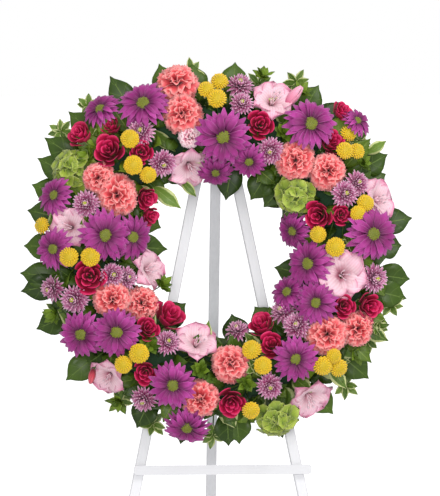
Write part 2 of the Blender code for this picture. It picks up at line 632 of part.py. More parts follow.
def place_head(spray, kind_name, across, up, size):
    """Where a bloom's heart lies and which way it faces, from its place in the wreath's face."""
    kind = KINDS[kind_name]
    clock = math.atan2(up, across)
    offset = math.hypot(across, up) - RING_RADIUS
    distance = max(kind.heart, abs(offset) / math.sin(HEAD_TILT_LIMIT))
    tilt = math.asin(offset / distance)
    heart = shell_point(clock, tilt, distance)
    outward = (heart - shell_point(clock, tilt, 0.0)).normalized()
    axis = outward.lerp(Vector((0.0, -1.0, 0.0)), NECK_TURN).normalized()
    return Head(spray, kind_name, heart, axis, size / 2.0, clock, tilt)


def place_heads():
    """Every bloom of every spray, the leader first in each."""
    heads = []
    for spray, (kind_name, *blooms) in SPRAYS.items():
        for across, up, size in blooms:
            heads.append(place_head(spray, kind_name, across, up, size))
    return heads


def globe_rings(kind):
    """Rings of (angle, reach, height) from foot to crown, as shares of the head's radius."""
    calyx = [(math.pi * (0.25 + 0.5 * corner), CALYX, 0.9 * kind.foot) for corner in range(4)]
    rings = [[(0.0, 0.0, kind.foot)], calyx]
    pitch = 2.0 * math.pi / kind.petals
    for ring in kind.rings:
        spots = []
        for petal in range(kind.petals):
            middle = (petal + 0.5 * ring.turn) * pitch
            if ring.notch_reach is None:
                spots.append((middle, ring.reach, ring.height))
                continue
            if kind.points == 3:
                spots.append((middle - 0.24 * pitch, ring.reach, ring.height))
                spots.append((middle + 0.24 * pitch, ring.reach, ring.height))
            else:
                spots.append((middle, ring.reach, ring.height))
            spots.append((middle + 0.5 * pitch, ring.notch_reach, ring.notch_height))
        rings.append(spots)
    rings.append([(0.0, 0.0, kind.crown)])
    return rings


def stitch(low, high):
    """Triangles between two rings of (index, angle), which may have unlike numbers of points."""
    if len(low) == 1:
        return [(low[0][0], high[(i + 1) % len(high)][0], high[i][0]) for i in range(len(high))]
    if len(high) == 1:
        return [(high[0][0], low[i][0], low[(i + 1) % len(low)][0]) for i in range(len(low))]
    full = 2.0 * math.pi
    start = min(range(len(high)), key=lambda j: abs(high[j][1] - low[0][1]))
    high = high[start:] + [(index, angle + full) for index, angle in high[:start]]
    low = low + [(low[0][0], low[0][1] + full)]
    high = high + [(high[0][0], high[0][1] + full)]
    faces = []
    i = j = 0
    while i < len(low) - 1 or j < len(high) - 1:
        low_next = low[i + 1][1] if i < len(low) - 1 else math.inf
        high_next = high[j + 1][1] if j < len(high) - 1 else math.inf
        if low_next <= high_next:
            faces.append((low[i][0], low[i + 1][0], high[j][0]))
            i += 1
        else:
            faces.append((low[i][0], high[j + 1][0], high[j][0]))
            j += 1
    return faces


def head_shape(head, roll):
    """A head's points about its heart, and its faces: a globe drawn out into petals."""
    kind = KINDS[head.kind]
    side = head.axis.orthogonal().normalized()
    turn = Matrix.Rotation(roll, 3, head.axis)
    side = turn @ side
    cross = head.axis.cross(side)
    points, rings = [], []
    for ring in globe_rings(kind):
        indexed = []
        for angle, reach, height in ring:
            indexed.append((len(points), angle))
            spot = side * (math.cos(angle) * reach) + cross * (math.sin(angle) * reach) + head.axis * height
            points.append(tuple(spot * head.radius))
        rings.append(indexed)
    faces = []
    for low, high in zip(rings, rings[1:]):
        faces += stitch(low, high)
    return np.array(points), faces


def directions():
    """Directions spread evenly over a sphere, each followed half a list later by its opposite."""
    half = DIRECTIONS_TRIED // 2
    steps = np.arange(half) + 0.5
    turn = steps * math.pi * (1.0 + math.sqrt(5.0))
    height = 1.0 - steps / half
    flat = np.sqrt(1.0 - height ** 2)
    upper = np.stack([flat * np.cos(turn), flat * np.sin(turn), height], axis=1)
    return np.concatenate([upper, -upper])


def hold_back(points, normal, limit):
    """Draw points in along their own lines from the heart, to stay short of a plane."""
    reach = points @ normal
    past = reach > limit
    points[past] *= (limit / reach[past])[:, None]


def part_heads(heads, shapes, around):
    """Press neighbouring heads back from each other, closest first, along the way that costs least."""
    half = len(around) // 2
    pairs = []
    for i, one in enumerate(heads):
        for j in range(i + 1, len(heads)):
            gap = (heads[j].heart - one.heart).length
            if gap < one.radius + heads[j].radius + NEAR:
                pairs.append((gap, i, j))
    for _, i, j in sorted(pairs):
        between = np.array(heads[j].heart - heads[i].heart) @ around.T
        one = (shapes[i] @ around.T).max(axis=0)
        other = np.roll((shapes[j] @ around.T).max(axis=0), half)
        cost = one + other - between
        cost[between < 2.0 * CORE + CLEAR] = math.inf
        best = int(np.argmin(cost))
        if cost[best] < -CLEAR:
            continue
        room = between[best] - CLEAR
        share = min(max(room * one[best] / (one[best] + other[best]), CORE), room - CORE)
        hold_back(shapes[i], around[best], share)
        hold_back(shapes[j], -around[best], room - share)


def clear_stems(heads, shapes, stems, around):
    """Press heads back from the stems of other sprays, which don't give way."""
    for i, head in enumerate(heads):
        heart = np.array(head.heart)
        for spray, start, end in stems:
            if spray == head.spray:
                continue
            ends = np.array([start, end]) - heart
            if distance_to_segment(heart, np.array(start), np.array(end)) > head.radius * 1.1 + NEAR:
                continue
            near = (ends @ around.T).min(axis=0) - STEM_RADIUS
            reach = (shapes[i] @ around.T).max(axis=0)
            cost = reach - near
            cost[near < CORE + CLEAR] = math.inf
            best = int(np.argmin(cost))
            if -CLEAR < cost[best] < math.inf:
                hold_back(shapes[i], around[best], near[best] - CLEAR)


def distance_to_segment(point, start, end):
    """How far a point lies from a segment."""
    along = end - start
    share = float(np.clip(np.dot(point - start, along) / np.dot(along, along), 0.0, 1.0))
    return float(np.linalg.norm(point - start - along * share))


def segment_gap(a, b, c, d):
    """The least distance between two segments, from points along the first."""
    a, b, c, d = (np.array(spot) for spot in (a, b, c, d))
    first = b - a
    second = d - c
    shares = np.linspace(0.0, 1.0, 9)
    spots = a + first * shares[:, None]
    along = np.clip((spots - c) @ second / np.dot(second, second), 0.0, 1.0)
    return float(np.linalg.norm(spots - c - second * along[:, None], axis=1).min())


def link_points(head, joint, layer, bulge):
    """A side branch from a bloom down to its layer, and along it to a joint at (clock, tilt)."""
    length = RING_RADIUS * abs(head.clock - joint[0]) + layer * abs(head.tilt - joint[1])
    steps = max(1, math.ceil(length * (1.0 - LINK_START) / LINK_STEP))
    points = [head.heart]
    for step in range(steps + 1):
        share = LINK_START + (1.0 - LINK_START) * step / steps
        clock = head.clock + (joint[0] - head.clock) * share
        tilt = head.tilt + (joint[1] - head.tilt) * share + bulge * math.sin(math.pi * share)
        points.append(shell_point(clock, tilt, layer))
        if step == 0:
            reached = (clock, tilt)
    return points, reached


def unwrap(heads):
    """Bring each spray's clock angles to within half a turn of its leader's."""
    leaders = {}
    result = []
    for head in heads:
        leader = leaders.setdefault(head.spray, head)
        clock = head.clock
        while clock - leader.clock > math.pi:
            clock -= 2.0 * math.pi
        while clock - leader.clock < -math.pi:
            clock += 2.0 * math.pi
        result.append(head._replace(clock=clock))
    return result


def stem_routes(heads):
    """For each head the points of its stem, down to its foam hole or along to its leader's stem."""
    leaders = {}
    for head in heads:
        leaders.setdefault(head.spray, head)
    fixed = []
    for head in leaders.values():
        foot = shell_point(head.clock, head.tilt, STEM_END)
        fixed.append((head.spray, tuple(foot), tuple(head.heart)))
    routes = []
    links = []
    joints = {spray: [(head.clock, head.tilt)] for spray, head in leaders.items()}
    for head in heads:
        leader = leaders[head.spray]
        if leader is head:
            routes.append([shell_point(head.clock, head.tilt, STEM_END), head.heart])
            continue
        layer = KINDS[head.kind].layer
        foot = shell_point(head.clock, head.tilt, layer)
        joint = min(joints[head.spray], key=lambda place: (shell_point(*place, layer) - foot).length)
        blocked = [item for item in fixed + links if item[0] != head.spray]
        best_gap, best_points, best_reached = -1.0, None, None
        for bulge in BULGES:
            points, reached = link_points(head, joint, layer, bulge)
            gap = min(
                (segment_gap(p, q, low, high) for p, q in zip(points, points[1:]) for _, low, high in blocked
                 if min((Vector(low) - p).length, (Vector(high) - p).length) < STEM_NEAR),
                default=1.0,
            )
            if gap > best_gap:
                best_gap, best_points, best_reached = gap, points, reached
            if gap > STEM_PASS:
                break
        links += [(head.spray, tuple(p), tuple(q)) for p, q in zip(best_points, best_points[1:])]
        joints[head.spray].append(best_reached)
        routes.append(best_points)
    return routes, fixed + links


def add_sprays(wreath, collection):
    """One node for each spray: its heads and its stems, joined."""
    heads = unwrap(place_heads())
    around = directions()
    shapes, faces = [], []
    for index, head in enumerate(heads):
        points, triangles = head_shape(head, 2.4 * index)
        shapes.append(points)
        faces.append(triangles)
    back = np.array((0.0, 1.0, 0.0))
    for head, points in zip(heads, shapes):
        hold_back(points, back, -head.heart.y - HEAD_BACK)
    part_heads(heads, shapes, around)
    routes, stems = stem_routes(heads)
    clear_stems(heads, shapes, stems, around)
    holes = []
    for spray, (kind_name, *_) in SPRAYS.items():
        pieces = []
        for head, points, triangles, route in zip(heads, shapes, faces, routes):
            if head.spray != spray:
                continue
            mesh = bpy.data.meshes.new(spray)
            mesh.from_pydata([tuple(head.heart + Vector(point)) for point in points], [], triangles)
            bm = bmesh.new()
            bm.from_mesh(mesh)
            bmesh.ops.recalc_face_normals(bm, faces=bm.faces)
            bm.to_mesh(mesh)
            bm.free()
            pieces += [mesh, tube(route, STEM_RADIUS)]
            if len(route) == 2:
                bottom = shell_point(head.clock, head.tilt, STEM_END - SEAT_GAP)
                top = shell_point(head.clock, head.tilt, FOAM_CLEAR)
                holes.append(tube((bottom, top), STEM_RADIUS + HOLE_GAP))
        finish = (KINDS[kind_name].colour, PETAL_ROUGHNESS, 0.0)
        obj = add_object(spray, pieces[0], collection, wreath, finish)
        join(obj, pieces[1:])
    return holes


def leaf(root, tip, width, thickness, points=8):
    """A blade as a flattened globe, drawn to a point at its tip."""
    root, tip = Vector(root), Vector(tip)
    along = tip - root
    length = along.length
    bm = bmesh.new()
    bmesh.ops.create_uvsphere(bm, u_segments=points, v_segments=2, radius=0.5)
    for spot in bm.verts:
        share = spot.co.y + 0.5
        bulge = math.sin(math.pi * min(max(share, 0.0), 1.0) ** 0.85)
        rim = abs(spot.co.z) < 0.25
        sideways = math.copysign(bulge, spot.co.x) if rim and abs(spot.co.x) > 0.01 else 0.0
        spot.co = (
            share * length,
            0.5 * width * sideways,
            0.0 if rim else math.copysign(0.5 * thickness, spot.co.z),
        )
    ahead = Vector((0.0, -1.0, 0.0))
    x_axis = along.normalized()
    y_axis = ahead.cross(x_axis).normalized()
    z_axis = x_axis.cross(y_axis)
    frame = Matrix((x_axis, y_axis, z_axis)).transposed().to_4x4()
    bmesh.ops.transform(bm, matrix=Matrix.Translation(root) @ frame, verts=bm.verts)
    return mesh_from(bm, "leaf")


def twig_points(span, radius, ahead):
    """The points of an arc of stem round the ring."""
    start, end = (math.radians(angle) for angle in span)
    steps = max(2, math.ceil((end - start) / TWIG_STEP))
    points = []
    for step in range(steps + 1):
        clock = start + (end - start) * step / steps
        points.append(wreath_point(radius * math.cos(clock), radius * math.sin(clock), ahead))
    return points


def peg_points(clock, radius, ahead):
    """The two ends of a peg from an arc of stem into the foam's side."""
    half = (TRAY_OUTER - TRAY_INNER) / 2.0 - TRAY_WALL - FOAM_STEP
    side = 1.0
    if radius < RING_RADIUS:
        side = -1.0
        radius -= INNER_SAG
    deep = RING_RADIUS + side * (half - PEG_DEPTH)
    towards = Vector((math.cos(clock), math.sin(clock)))
    return (
        wreath_point(deep * towards.x, deep * towards.y, ahead),
        wreath_point(radius * towards.x, radius * towards.y, ahead),
    )


def add_branch(name, span, pieces, radius, ahead, finish, wreath, collection):
    """A branch: an arc of stem on pegs in the foam, with its leaves. Returns the pegs' holes."""
    start, end = (math.radians(angle) for angle in span)
    meshes = [tube(twig_points(span, radius, ahead), TWIG_RADIUS)]
    holes = []
    shares = (0.15, 0.85) if radius > RING_RADIUS else (0.5,)
    for share in shares:
        clock = start + (end - start) * share
        low, high = peg_points(clock, radius, ahead)
        meshes.append(tube((low, high), TWIG_RADIUS))
        deeper = low + (low - high).normalized() * SEAT_GAP
        holes.append(tube((deeper, high), TWIG_RADIUS + HOLE_GAP))
    obj = add_object(name, meshes[0], collection, wreath, finish)
    join(obj, meshes[1:] + pieces)
    return holes


def on_arc(across, up, span, radius, ahead):
    """The point of a branch's arc that is nearest in clock angle to a leaf's tip."""
    middle = (span[0] + span[1]) / 2.0
    clock = middle + (math.degrees(math.atan2(up, across)) - middle + 180.0) % 360.0 - 180.0
    points = twig_points(span, radius, ahead)
    share = min(max((clock - span[0]) / (span[1] - span[0]), 0.01), 0.99) * (len(points) - 1)
    return points[int(share)].lerp(points[int(share) + 1], share - int(share))


def add_foliage(wreath, collection):
    """The salal branches outside and inside the ring, and the pittosporum behind them."""
    holes = []
    for name, (span, tips) in OUTER_LEAVES.items():
        leaves = []
        for across, up in tips:
            root = on_arc(across, up, span, SALAL_OUTER_RADIUS, SALAL_AHEAD)
            leaves.append(leaf(root, wreath_point(across, up, LEAF_LOW_AHEAD), LEAF_WIDTH, LEAF_THICKNESS))
        holes += add_branch(name, span, leaves, SALAL_OUTER_RADIUS, SALAL_AHEAD, SALAL, wreath, collection)
    for name, (span, tips) in INNER_LEAVES.items():
        leaves = []
        for across, up in tips:
            root = on_arc(across, up, span, INNER_RADIUS, SALAL_AHEAD)
            leaves.append(leaf(root, wreath_point(across, up, LEAF_LOW_AHEAD), LEAF_WIDTH, LEAF_THICKNESS))
        holes += add_branch(name, span, leaves, INNER_RADIUS, SALAL_AHEAD, SALAL, wreath, collection)
    for name, (span, tips) in SPRIGS.items():
        pieces = []
        for across, up in tips:
            root = on_arc(across, up, span, PITTOSPORUM_RADIUS, PITTOSPORUM_AHEAD)
            pieces += sprig(root, wreath_point(across, up, SPRIG_TIP_AHEAD))
        holes += add_branch(
            name, span, pieces, PITTOSPORUM_RADIUS, PITTOSPORUM_AHEAD, PITTOSPORUM, wreath, collection,
        )
    return holes


def sprig(root, tip):
    """A shoot that bends back behind the salal and ends in a whorl of leaves, cut in one blade."""
    outward = (tip - root).normalized()
    bend = root + outward * 0.012
    bend.y = -SPRIG_BEND_AHEAD
    middle = tip - outward * WHORL_REACH
    bm = bmesh.new()
    bmesh.ops.create_uvsphere(bm, u_segments=2 * WHORL_LEAVES, v_segments=2, radius=1.0)
    for spot in bm.verts:
        if abs(spot.co.z) > 0.5:
            spot.co = (0.0, 0.0, math.copysign(0.5 * SPRIG_LEAF_THICKNESS, spot.co.z))
            continue
        step = round(math.atan2(spot.co.y, spot.co.x) / math.pi * WHORL_LEAVES)
        spot.co *= WHORL_REACH if step % 2 == 0 else 0.42 * WHORL_REACH
    y_axis = Vector((0.0, -1.0, 0.0)).cross(outward).normalized()
    turn = Matrix((outward, y_axis, outward.cross(y_axis))).transposed().to_4x4()
    bmesh.ops.transform(bm, matrix=Matrix.Translation(middle) @ turn, verts=bm.verts)
    end = middle - outward * 0.7 * WHORL_REACH
    return [tube((root, bend, end), TWIG_RADIUS * 0.8), mesh_from(bm, "whorl")]


def main():
    """Build the easel, the ring and everything planted in it."""
    clear_scene()
    collection = new_collection("funeral_wreath")
    frame = add_front_frame()
    bpy.context.view_layer.update()
    add_front_legs(frame, collection)
    add_crossbar(frame, collection)
    add_head_plate(frame, collection)
    add_nail(frame, collection)
    add_pivot(frame, collection)
    wreath = add_wreath_frame(frame)
    holes = add_sprays(wreath, collection)
    holes += add_foliage(wreath, collection)
    add_ring(wreath, collection, holes)
    add_loop(wreath, collection)
    bpy.context.view_layer.update()


main()
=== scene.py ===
"""The looks of a round funeral wreath of fresh flowers on a white wooden easel.

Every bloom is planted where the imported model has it: at a place in the wreath's face, on a stem that
leans round the foam ring. Petals are sheets whose vertices carry how far out and how far aside they lie,
and the finishes read that.
"""

import logging
import math
import random
from collections.abc import Callable
from dataclasses import dataclass, field, replace
from enum import Enum

import bmesh
import bpy
from mathutils import Matrix, Vector


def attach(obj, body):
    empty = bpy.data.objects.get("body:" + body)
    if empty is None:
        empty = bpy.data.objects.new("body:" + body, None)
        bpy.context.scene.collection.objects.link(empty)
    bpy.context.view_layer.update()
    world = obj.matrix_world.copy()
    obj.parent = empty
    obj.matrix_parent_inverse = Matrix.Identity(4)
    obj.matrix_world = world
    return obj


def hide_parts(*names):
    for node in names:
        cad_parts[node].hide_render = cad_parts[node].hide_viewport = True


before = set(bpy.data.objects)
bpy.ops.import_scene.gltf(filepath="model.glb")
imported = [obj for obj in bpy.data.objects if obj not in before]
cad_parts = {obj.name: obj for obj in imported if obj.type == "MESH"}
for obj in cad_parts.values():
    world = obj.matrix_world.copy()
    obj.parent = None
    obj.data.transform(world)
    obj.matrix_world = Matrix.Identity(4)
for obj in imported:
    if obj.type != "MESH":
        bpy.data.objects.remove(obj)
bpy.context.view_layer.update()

LOG = logging.getLogger("wreath")
MM = 0.001
GOLDEN = math.radians(137.508)  # from one petal to the next in a spiral
GOLDEN_SHARE = 0.618  # of a span, from one leaf to the next
STEM_OVERLAP = 1.04  # the cones of a stem reach a little past their ends, so that they join
Colour = tuple[float, float, float]


class Seed(Enum):
    """What each family of pieces starts its dice from, so that every run gives the same wreath."""

    SPRAYS = 101
    SALAL = 300
    PITTOSPORUM = 400
    TUCKED = 500
    RIMS = 550
    SPRIGS = 600
    SHOWN = 650
    BUDS = 700

    def dice(self, number: int = 0) -> random.Random:
        """Dice for one piece of the family."""
        return random.Random(self.value + number)


def tint(red: int, green: int, blue: int) -> Colour:
    """Turn a display colour of 0 to 255 into linear light."""
    shares = (value / 255.0 for value in (red, green, blue))
    return tuple(s / 12.92 if s <= 0.04045 else ((s + 0.055) / 1.055) ** 2.4 for s in shares)


class Carried(Enum):
    """What each vertex of a petal or leaf carries for its finish to read: depth is painted shade towards
    roots and deep folds.
    """

    REACH = "reach"
    ASIDE = "aside"
    TONE = "tone"
    # painted shade: how far the finish darkens this vertex towards its darkest colour
    DEPTH = "depth"


class Signal:
    """A number that varies over a surface, on which sums are written as in Python."""

    def __init__(self, graph: "Graph", socket: bpy.types.NodeSocket) -> None:
        """Keep the socket and the graph that it belongs to."""
        self.graph = graph
        self.socket = socket

    def math(self, operation: str, *others: "Signal | float", clamp: bool = False) -> "Signal":
        """Add a Math node.

        Args:
            operation: The node's operation.
            others: The other values.
            clamp: Whether the result is held from 0 to 1.

        Returns:
            The result.
        """
        values = dict(enumerate((self, *others)))
        return self.graph.number("ShaderNodeMath", {"operation": operation, "use_clamp": clamp}, values)

    def __add__(self, other: "Signal | float") -> "Signal":
        """The sum."""
        return self.math("ADD", other)

    __radd__ = __add__

    def __mul__(self, other: "Signal | float") -> "Signal":
        """The product."""
        return self.math("MULTIPLY", other)

    __rmul__ = __mul__

    def __sub__(self, other: "Signal | float") -> "Signal":
        """The difference."""
        return self.math("SUBTRACT", other)

    def __rsub__(self, other: float) -> "Signal":
        """A number less this one."""
        return self.math("MULTIPLY_ADD", -1.0, other)

    def __pow__(self, other: float) -> "Signal":
        """The power."""
        return self.math("POWER", other)

    def __abs__(self) -> "Signal":
        """The size without its sign."""
        return self.math("ABSOLUTE")

    def sine(self) -> "Signal":
        """The sine."""
        return self.math("SINE")

    def held(self) -> "Signal":
        """The value held from 0 to 1."""
        return self.math("ADD", 0.0, clamp=True)

    def step(self, low: float, high: float) -> "Signal":
        """How far the value has come from low to high, from 0 to 1, eased."""
        values = {"Value": self, "From Min": low, "From Max": high}
        return self.graph.number("ShaderNodeMapRange", {"interpolation_type": "SMOOTHSTEP"}, values)


class Graph:
    """A material's nodes, with one method that adds any of them."""

    def __init__(self, name: str) -> None:
        """Start a material with its Principled shader."""
        self.material = bpy.data.materials.new(name)
        self.material.use_nodes = True
        self.tree = self.material.node_tree
        self.shader = self.tree.nodes["Principled BSDF"]

    def node(self, kind: str, settings: dict, values: dict) -> bpy.types.Node:
        """Add a node.

        Args:
            kind: The node's type.
            settings: Its settings, which are set first.
            values: What its sockets hold or are linked to, by name or number.

        Returns:
            The node.
        """
        made = self.tree.nodes.new(kind)
        for name, value in settings.items():
            setattr(made, name, value)
        for name, value in values.items():
            self.feed(made.inputs[name], value)
        return made

    def feed(self, socket: bpy.types.NodeSocket, value: object) -> None:
        """Link or set one socket."""
        if isinstance(value, Signal):
            self.tree.links.new(value.socket, socket)
        elif isinstance(value, bpy.types.NodeSocket):
            self.tree.links.new(value, socket)
        elif isinstance(value, tuple) and len(socket.default_value) == 4:
            socket.default_value = (*value, 1.0)
        else:
            socket.default_value = value

    def number(self, kind: str, settings: dict, values: dict) -> Signal:
        """Add a node and take its first output as a number."""
        return Signal(self, self.node(kind, settings, values).outputs[0])

    def carried(self, what: Carried) -> Signal:
        """What the mesh's vertices carry."""
        made = self.node("ShaderNodeAttribute", {"attribute_name": what.value}, {})
        return Signal(self, made.outputs["Fac"])

    def place(self) -> bpy.types.NodeSocket:
        """The place on the object, in metres."""
        return self.node("ShaderNodeTexCoord", {}, {}).outputs["Object"]

    def noise(self, scale: float, detail: float = 3.0) -> Signal:
        """Cloudy variation, with scale in lumps a metre."""
        values = {"Vector": self.place(), "Scale": scale, "Detail": detail}
        return self.number("ShaderNodeTexNoise", {}, values)

    def mix(self, share: Signal | float, first: object, second: object) -> bpy.types.NodeSocket:
        """Blend two colours."""
        settings = {"data_type": "RGBA", "clamp_factor": True}
        made = self.node("ShaderNodeMix", settings, {"Factor": share, 6: first, 7: second})
        return made.outputs[2]

    def dress(self, colour: object, roughness: object, relief: Signal | None = None,
              height: float = 0.2 * MM, **constants: float) -> bpy.types.Material:
        """Wire the shader.

        Args:
            colour: The base colour.
            roughness: A number or a signal.
            relief: The surface's fine height, from 0 to 1.
            height: How high that relief stands.
            constants: Other sockets, with an underscore for each space.

        Returns:
            The material.
        """
        self.feed(self.shader.inputs["Base Color"], colour)
        self.feed(self.shader.inputs["Roughness"], roughness)
        for name, value in constants.items():
            self.feed(self.shader.inputs[name.replace("_", " ")], value)
        if relief is not None:
            bump = self.node("ShaderNodeBump", {}, {"Height": relief, "Distance": height, "Strength": 1.0})
            self.tree.links.new(bump.outputs[0], self.shader.inputs["Normal"])
        return self.material


@dataclass(frozen=True)
class PetalFinish:
    """A petal's colours from its base to its tip, with its veins, its change from petal to petal and painted
    shade at its root.
    """

    name: str
    base: Colour
    middle: Colour
    tip: Colour
    edge: Colour
    edge_share: float = 0.0
    edge_from: float = 0.7
    veins: float = 0.0
    vein_count: float = 9.0
    spread: float = 0.35
    roughness: float = 0.55
    sheen: float = 0.25
    glow: float = 0.06
    specular: float = 0.35
    # share of the base colour kept where the painted shade is darkest
    darkest_painted_shade: float = 0.30
    clouds: float = 90.0
    fine: float = 900.0
    height: float = 0.25 * MM

    def make(self) -> bpy.types.Material:
        """Build the material."""
        graph = Graph(self.name)
        reach, aside, tone, depth = (graph.carried(what) for what in Carried)
        cloud = graph.noise(self.clouds)
        drift = (cloud - 0.5) * 0.5
        colour = graph.mix((reach + drift).step(0.0, 0.55), self.base, self.middle)
        colour = graph.mix((reach + drift).step(0.45, 1.0), colour, self.tip)
        if self.edge_share:
            rim = abs(aside).math("MAXIMUM", reach) + drift * 0.5
            colour = graph.mix(rim.step(self.edge_from, 1.0) * self.edge_share, colour, self.edge)
        lines = (aside * (self.vein_count * math.pi) + cloud * 3.0).sine()
        if self.veins:
            colour = graph.mix((lines * 0.5 + 0.5) * self.veins * (1.0 - reach * 0.5), colour, self.base)
        colour = graph.mix(tone * self.spread, colour, self.base)
        # painted shade: darken towards a share of the base colour where the vertices carry depth
        colour = graph.mix(depth.held(), colour, tuple(self.darkest_painted_shade * value for value in self.base))
        relief = lines * 0.25 + graph.noise(self.fine) * 0.5
        glow = {"Sheen_Weight": self.sheen, "Subsurface_Weight": self.glow,
                "Subsurface_Radius": (4.0 * MM, 2.0 * MM, 2.0 * MM), "Specular_IOR_Level": self.specular}
        return graph.dress(colour, cloud * 0.2 + (self.roughness - 0.1), relief, self.height, **glow)


@dataclass(frozen=True)
class LeafFinish:
    """A leaf's green, with its rib, side veins, blotches, painted shade at its root and, on a variegated
    leaf, a cream edge.
    """

    name: str
    dark: Colour
    light: Colour
    rib: Colour
    edge: Colour
    edge_share: float = 0.0
    roughness: float = 0.36
    coat: float = 0.25
    side_veins: float = 26.0
    specular: float = 0.28
    # share of the dark green kept where the painted shade is darkest
    darkest_painted_shade: float = 0.25
    clouds: float = 70.0
    fine: float = 700.0
    height: float = 0.5 * MM

    def make(self) -> bpy.types.Material:
        """Build the material."""
        graph = Graph(self.name)
        reach, aside, tone, depth = (graph.carried(what) for what in Carried)
        cloud = graph.noise(self.clouds, 4.0)
        colour = graph.mix((tone + (cloud - 0.5) * 0.6).held(), self.dark, self.light)
        slant = (reach * self.side_veins - abs(aside) * 5.5 + cloud * 1.5).sine()
        side = slant.step(0.90, 1.0)
        colour = graph.mix(side * 0.25, colour, self.rib)
        rib = 1.0 - abs(aside).step(0.0, 0.07)
        colour = graph.mix(rib * 0.8, colour, self.rib)
        if self.edge_share:
            margin = (abs(aside) + (cloud - 0.5) * 0.7).step(0.62, 0.80)
            colour = graph.mix(margin * self.edge_share, colour, self.edge)
        # painted shade: darken towards a share of the dark green where the vertices carry depth
        colour = graph.mix(depth.held(), colour, tuple(self.darkest_painted_shade * value for value in self.dark))
        relief = 0.6 - side * 0.3 - rib * 0.5 + slant * 0.12 + graph.noise(self.fine) * 0.15
        return graph.dress(colour, cloud * 0.25 + (self.roughness - 0.12), relief, self.height,
                           Coat_Weight=self.coat, Coat_Roughness=0.25,
                           Specular_IOR_Level=self.specular)


@dataclass(frozen=True)
class PlainFinish:
    """A made surface: paint, plastic, foam or wire, with its grain, scuffs and shine."""

    name: str
    light: Colour
    dark: Colour
    roughness: float
    grain: Vector = field(default_factory=lambda: Vector((40.0, 40.0, 40.0)))
    metallic: float = 0.0
    height: float = 0.1 * MM
    fine: float = 600.0
    contrast: float = 0.5

    def make(self) -> bpy.types.Material:
        """Build the material."""
        graph = Graph(self.name)
        stretched = graph.node("ShaderNodeVectorMath", {"operation": "MULTIPLY"},
                               {0: graph.place(), 1: self.grain}).outputs[0]
        values = {"Vector": stretched, "Scale": 1.0, "Detail": 5.0, "Roughness": 0.6}
        grain = graph.number("ShaderNodeTexNoise", {}, values)
        specks = graph.noise(self.fine, 2.0)
        colour = graph.mix(grain.step(0.5 - self.contrast, 0.5 + self.contrast), self.dark, self.light)
        relief = grain * 0.7 + specks * 0.3
        roughness = grain * 0.2 + (self.roughness - 0.1)
        return graph.dress(colour, roughness, relief, self.height, Metallic=self.metallic)


def link(name: str, data: bpy.types.ID) -> bpy.types.Object:
    """Put an object with its data into the scene."""
    obj = bpy.data.objects.new(name, data)
    bpy.context.scene.collection.objects.link(obj)
    return obj


def mesh_object(name: str, bm: bmesh.types.BMesh) -> bpy.types.Object:
    """Turn a bmesh into an object, and free it."""
    mesh = bpy.data.meshes.new(name)
    bm.to_mesh(mesh)
    bm.free()
    return link(name, mesh)


def turn_to(axis: Vector) -> Matrix:
    """The turn that brings Z to an axis."""
    return axis.to_track_quat("Z", "Y").to_matrix().to_4x4()


def basis(axis: Vector, roll: float, at: Vector) -> Matrix:
    """A frame whose Z runs along an axis, turned about it by roll."""
    return Matrix.Translation(at) @ turn_to(axis) @ Matrix.Rotation(roll, 4, "Z")


def around(out: float, turn: float, up: float) -> Vector:
    """A point by its distance from the Z axis, its turn about it and its height."""
    return Vector((out * math.cos(turn), out * math.sin(turn), up))


def bent(out: float, side: float, up: float, bend: float, sink: float) -> Vector:
    """A point of a petal that leaves the bloom's heart at an angle, sunk into the bloom a little."""
    return Vector((
        out * math.cos(bend) - up * math.sin(bend), side,
        out * math.sin(bend) + up * math.cos(bend) - sink,
    ))


@dataclass(frozen=True)
class Spot:
    """Where a bloom's heart lies, which way it faces, how wide it is and how its stem runs down."""

    heart: Vector
    axis: Vector
    radius: float
    clock: float
    tilt: float

    def frame(self, roll: float, ahead: float = 0.0) -> Matrix:
        """The bloom's own frame, turned about its axis by roll and moved ahead of its heart."""
        return basis(self.axis, roll, self.heart + self.axis * ahead)


@dataclass(frozen=True)
class Ring:
    """The ring's place in the model: its tray's flat back leans on the head plate and the front legs."""

    centre: Vector = field(default_factory=lambda: Vector((0.0, -0.16271, 1.10386)))
    lean: float = math.radians(8.722)
    radius: float = 0.197
    section_ahead: float = 0.024
    tilt_limit: float = math.radians(68.0)
    neck_turn: float = 0.35

    def way(self, across: float, up: float, ahead: float) -> Vector:
        """Turn a direction in the wreath to one in the model."""
        sine, cosine = math.sin(self.lean), math.cos(self.lean)
        return Vector((across, up * sine - ahead * cosine, up * cosine + ahead * sine))

    def point(self, across: float, up: float, ahead: float) -> Vector:
        """Turn a place in the wreath to one in the model."""
        return self.centre + self.way(across, up, ahead)

    def shell(self, clock: float, tilt: float, distance: float) -> Vector:
        """A point round the foam: clock angle, tilt from the front and distance from its middle."""
        out = self.radius + distance * math.sin(tilt)
        ahead = self.section_ahead + distance * math.cos(tilt)
        return self.point(out * math.cos(clock), out * math.sin(clock), ahead)

    def plant(self, across: float, up: float, width: float, heart: float) -> Spot:
        """Work out a bloom's spot from its place in the wreath's face.

        Args:
            across: To the right of the wreath's centre.
            up: Above the wreath's centre.
            width: Across the open bloom.
            heart: From the middle of the foam's section to the bloom's heart.

        Returns:
            The spot.
        """
        clock = math.atan2(up, across)
        offset = math.hypot(across, up) - self.radius
        distance = max(heart, abs(offset) / math.sin(self.tilt_limit))
        tilt = math.asin(offset / distance)
        middle = self.shell(clock, tilt, 0.0)
        centre = self.shell(clock, tilt, distance)
        outward = (centre - middle).normalized()
        axis = outward.lerp(self.way(0.0, 0.0, 1.0), self.neck_turn).normalized()
        return Spot(centre, axis, width / 2.0, clock, tilt)


RING = Ring()


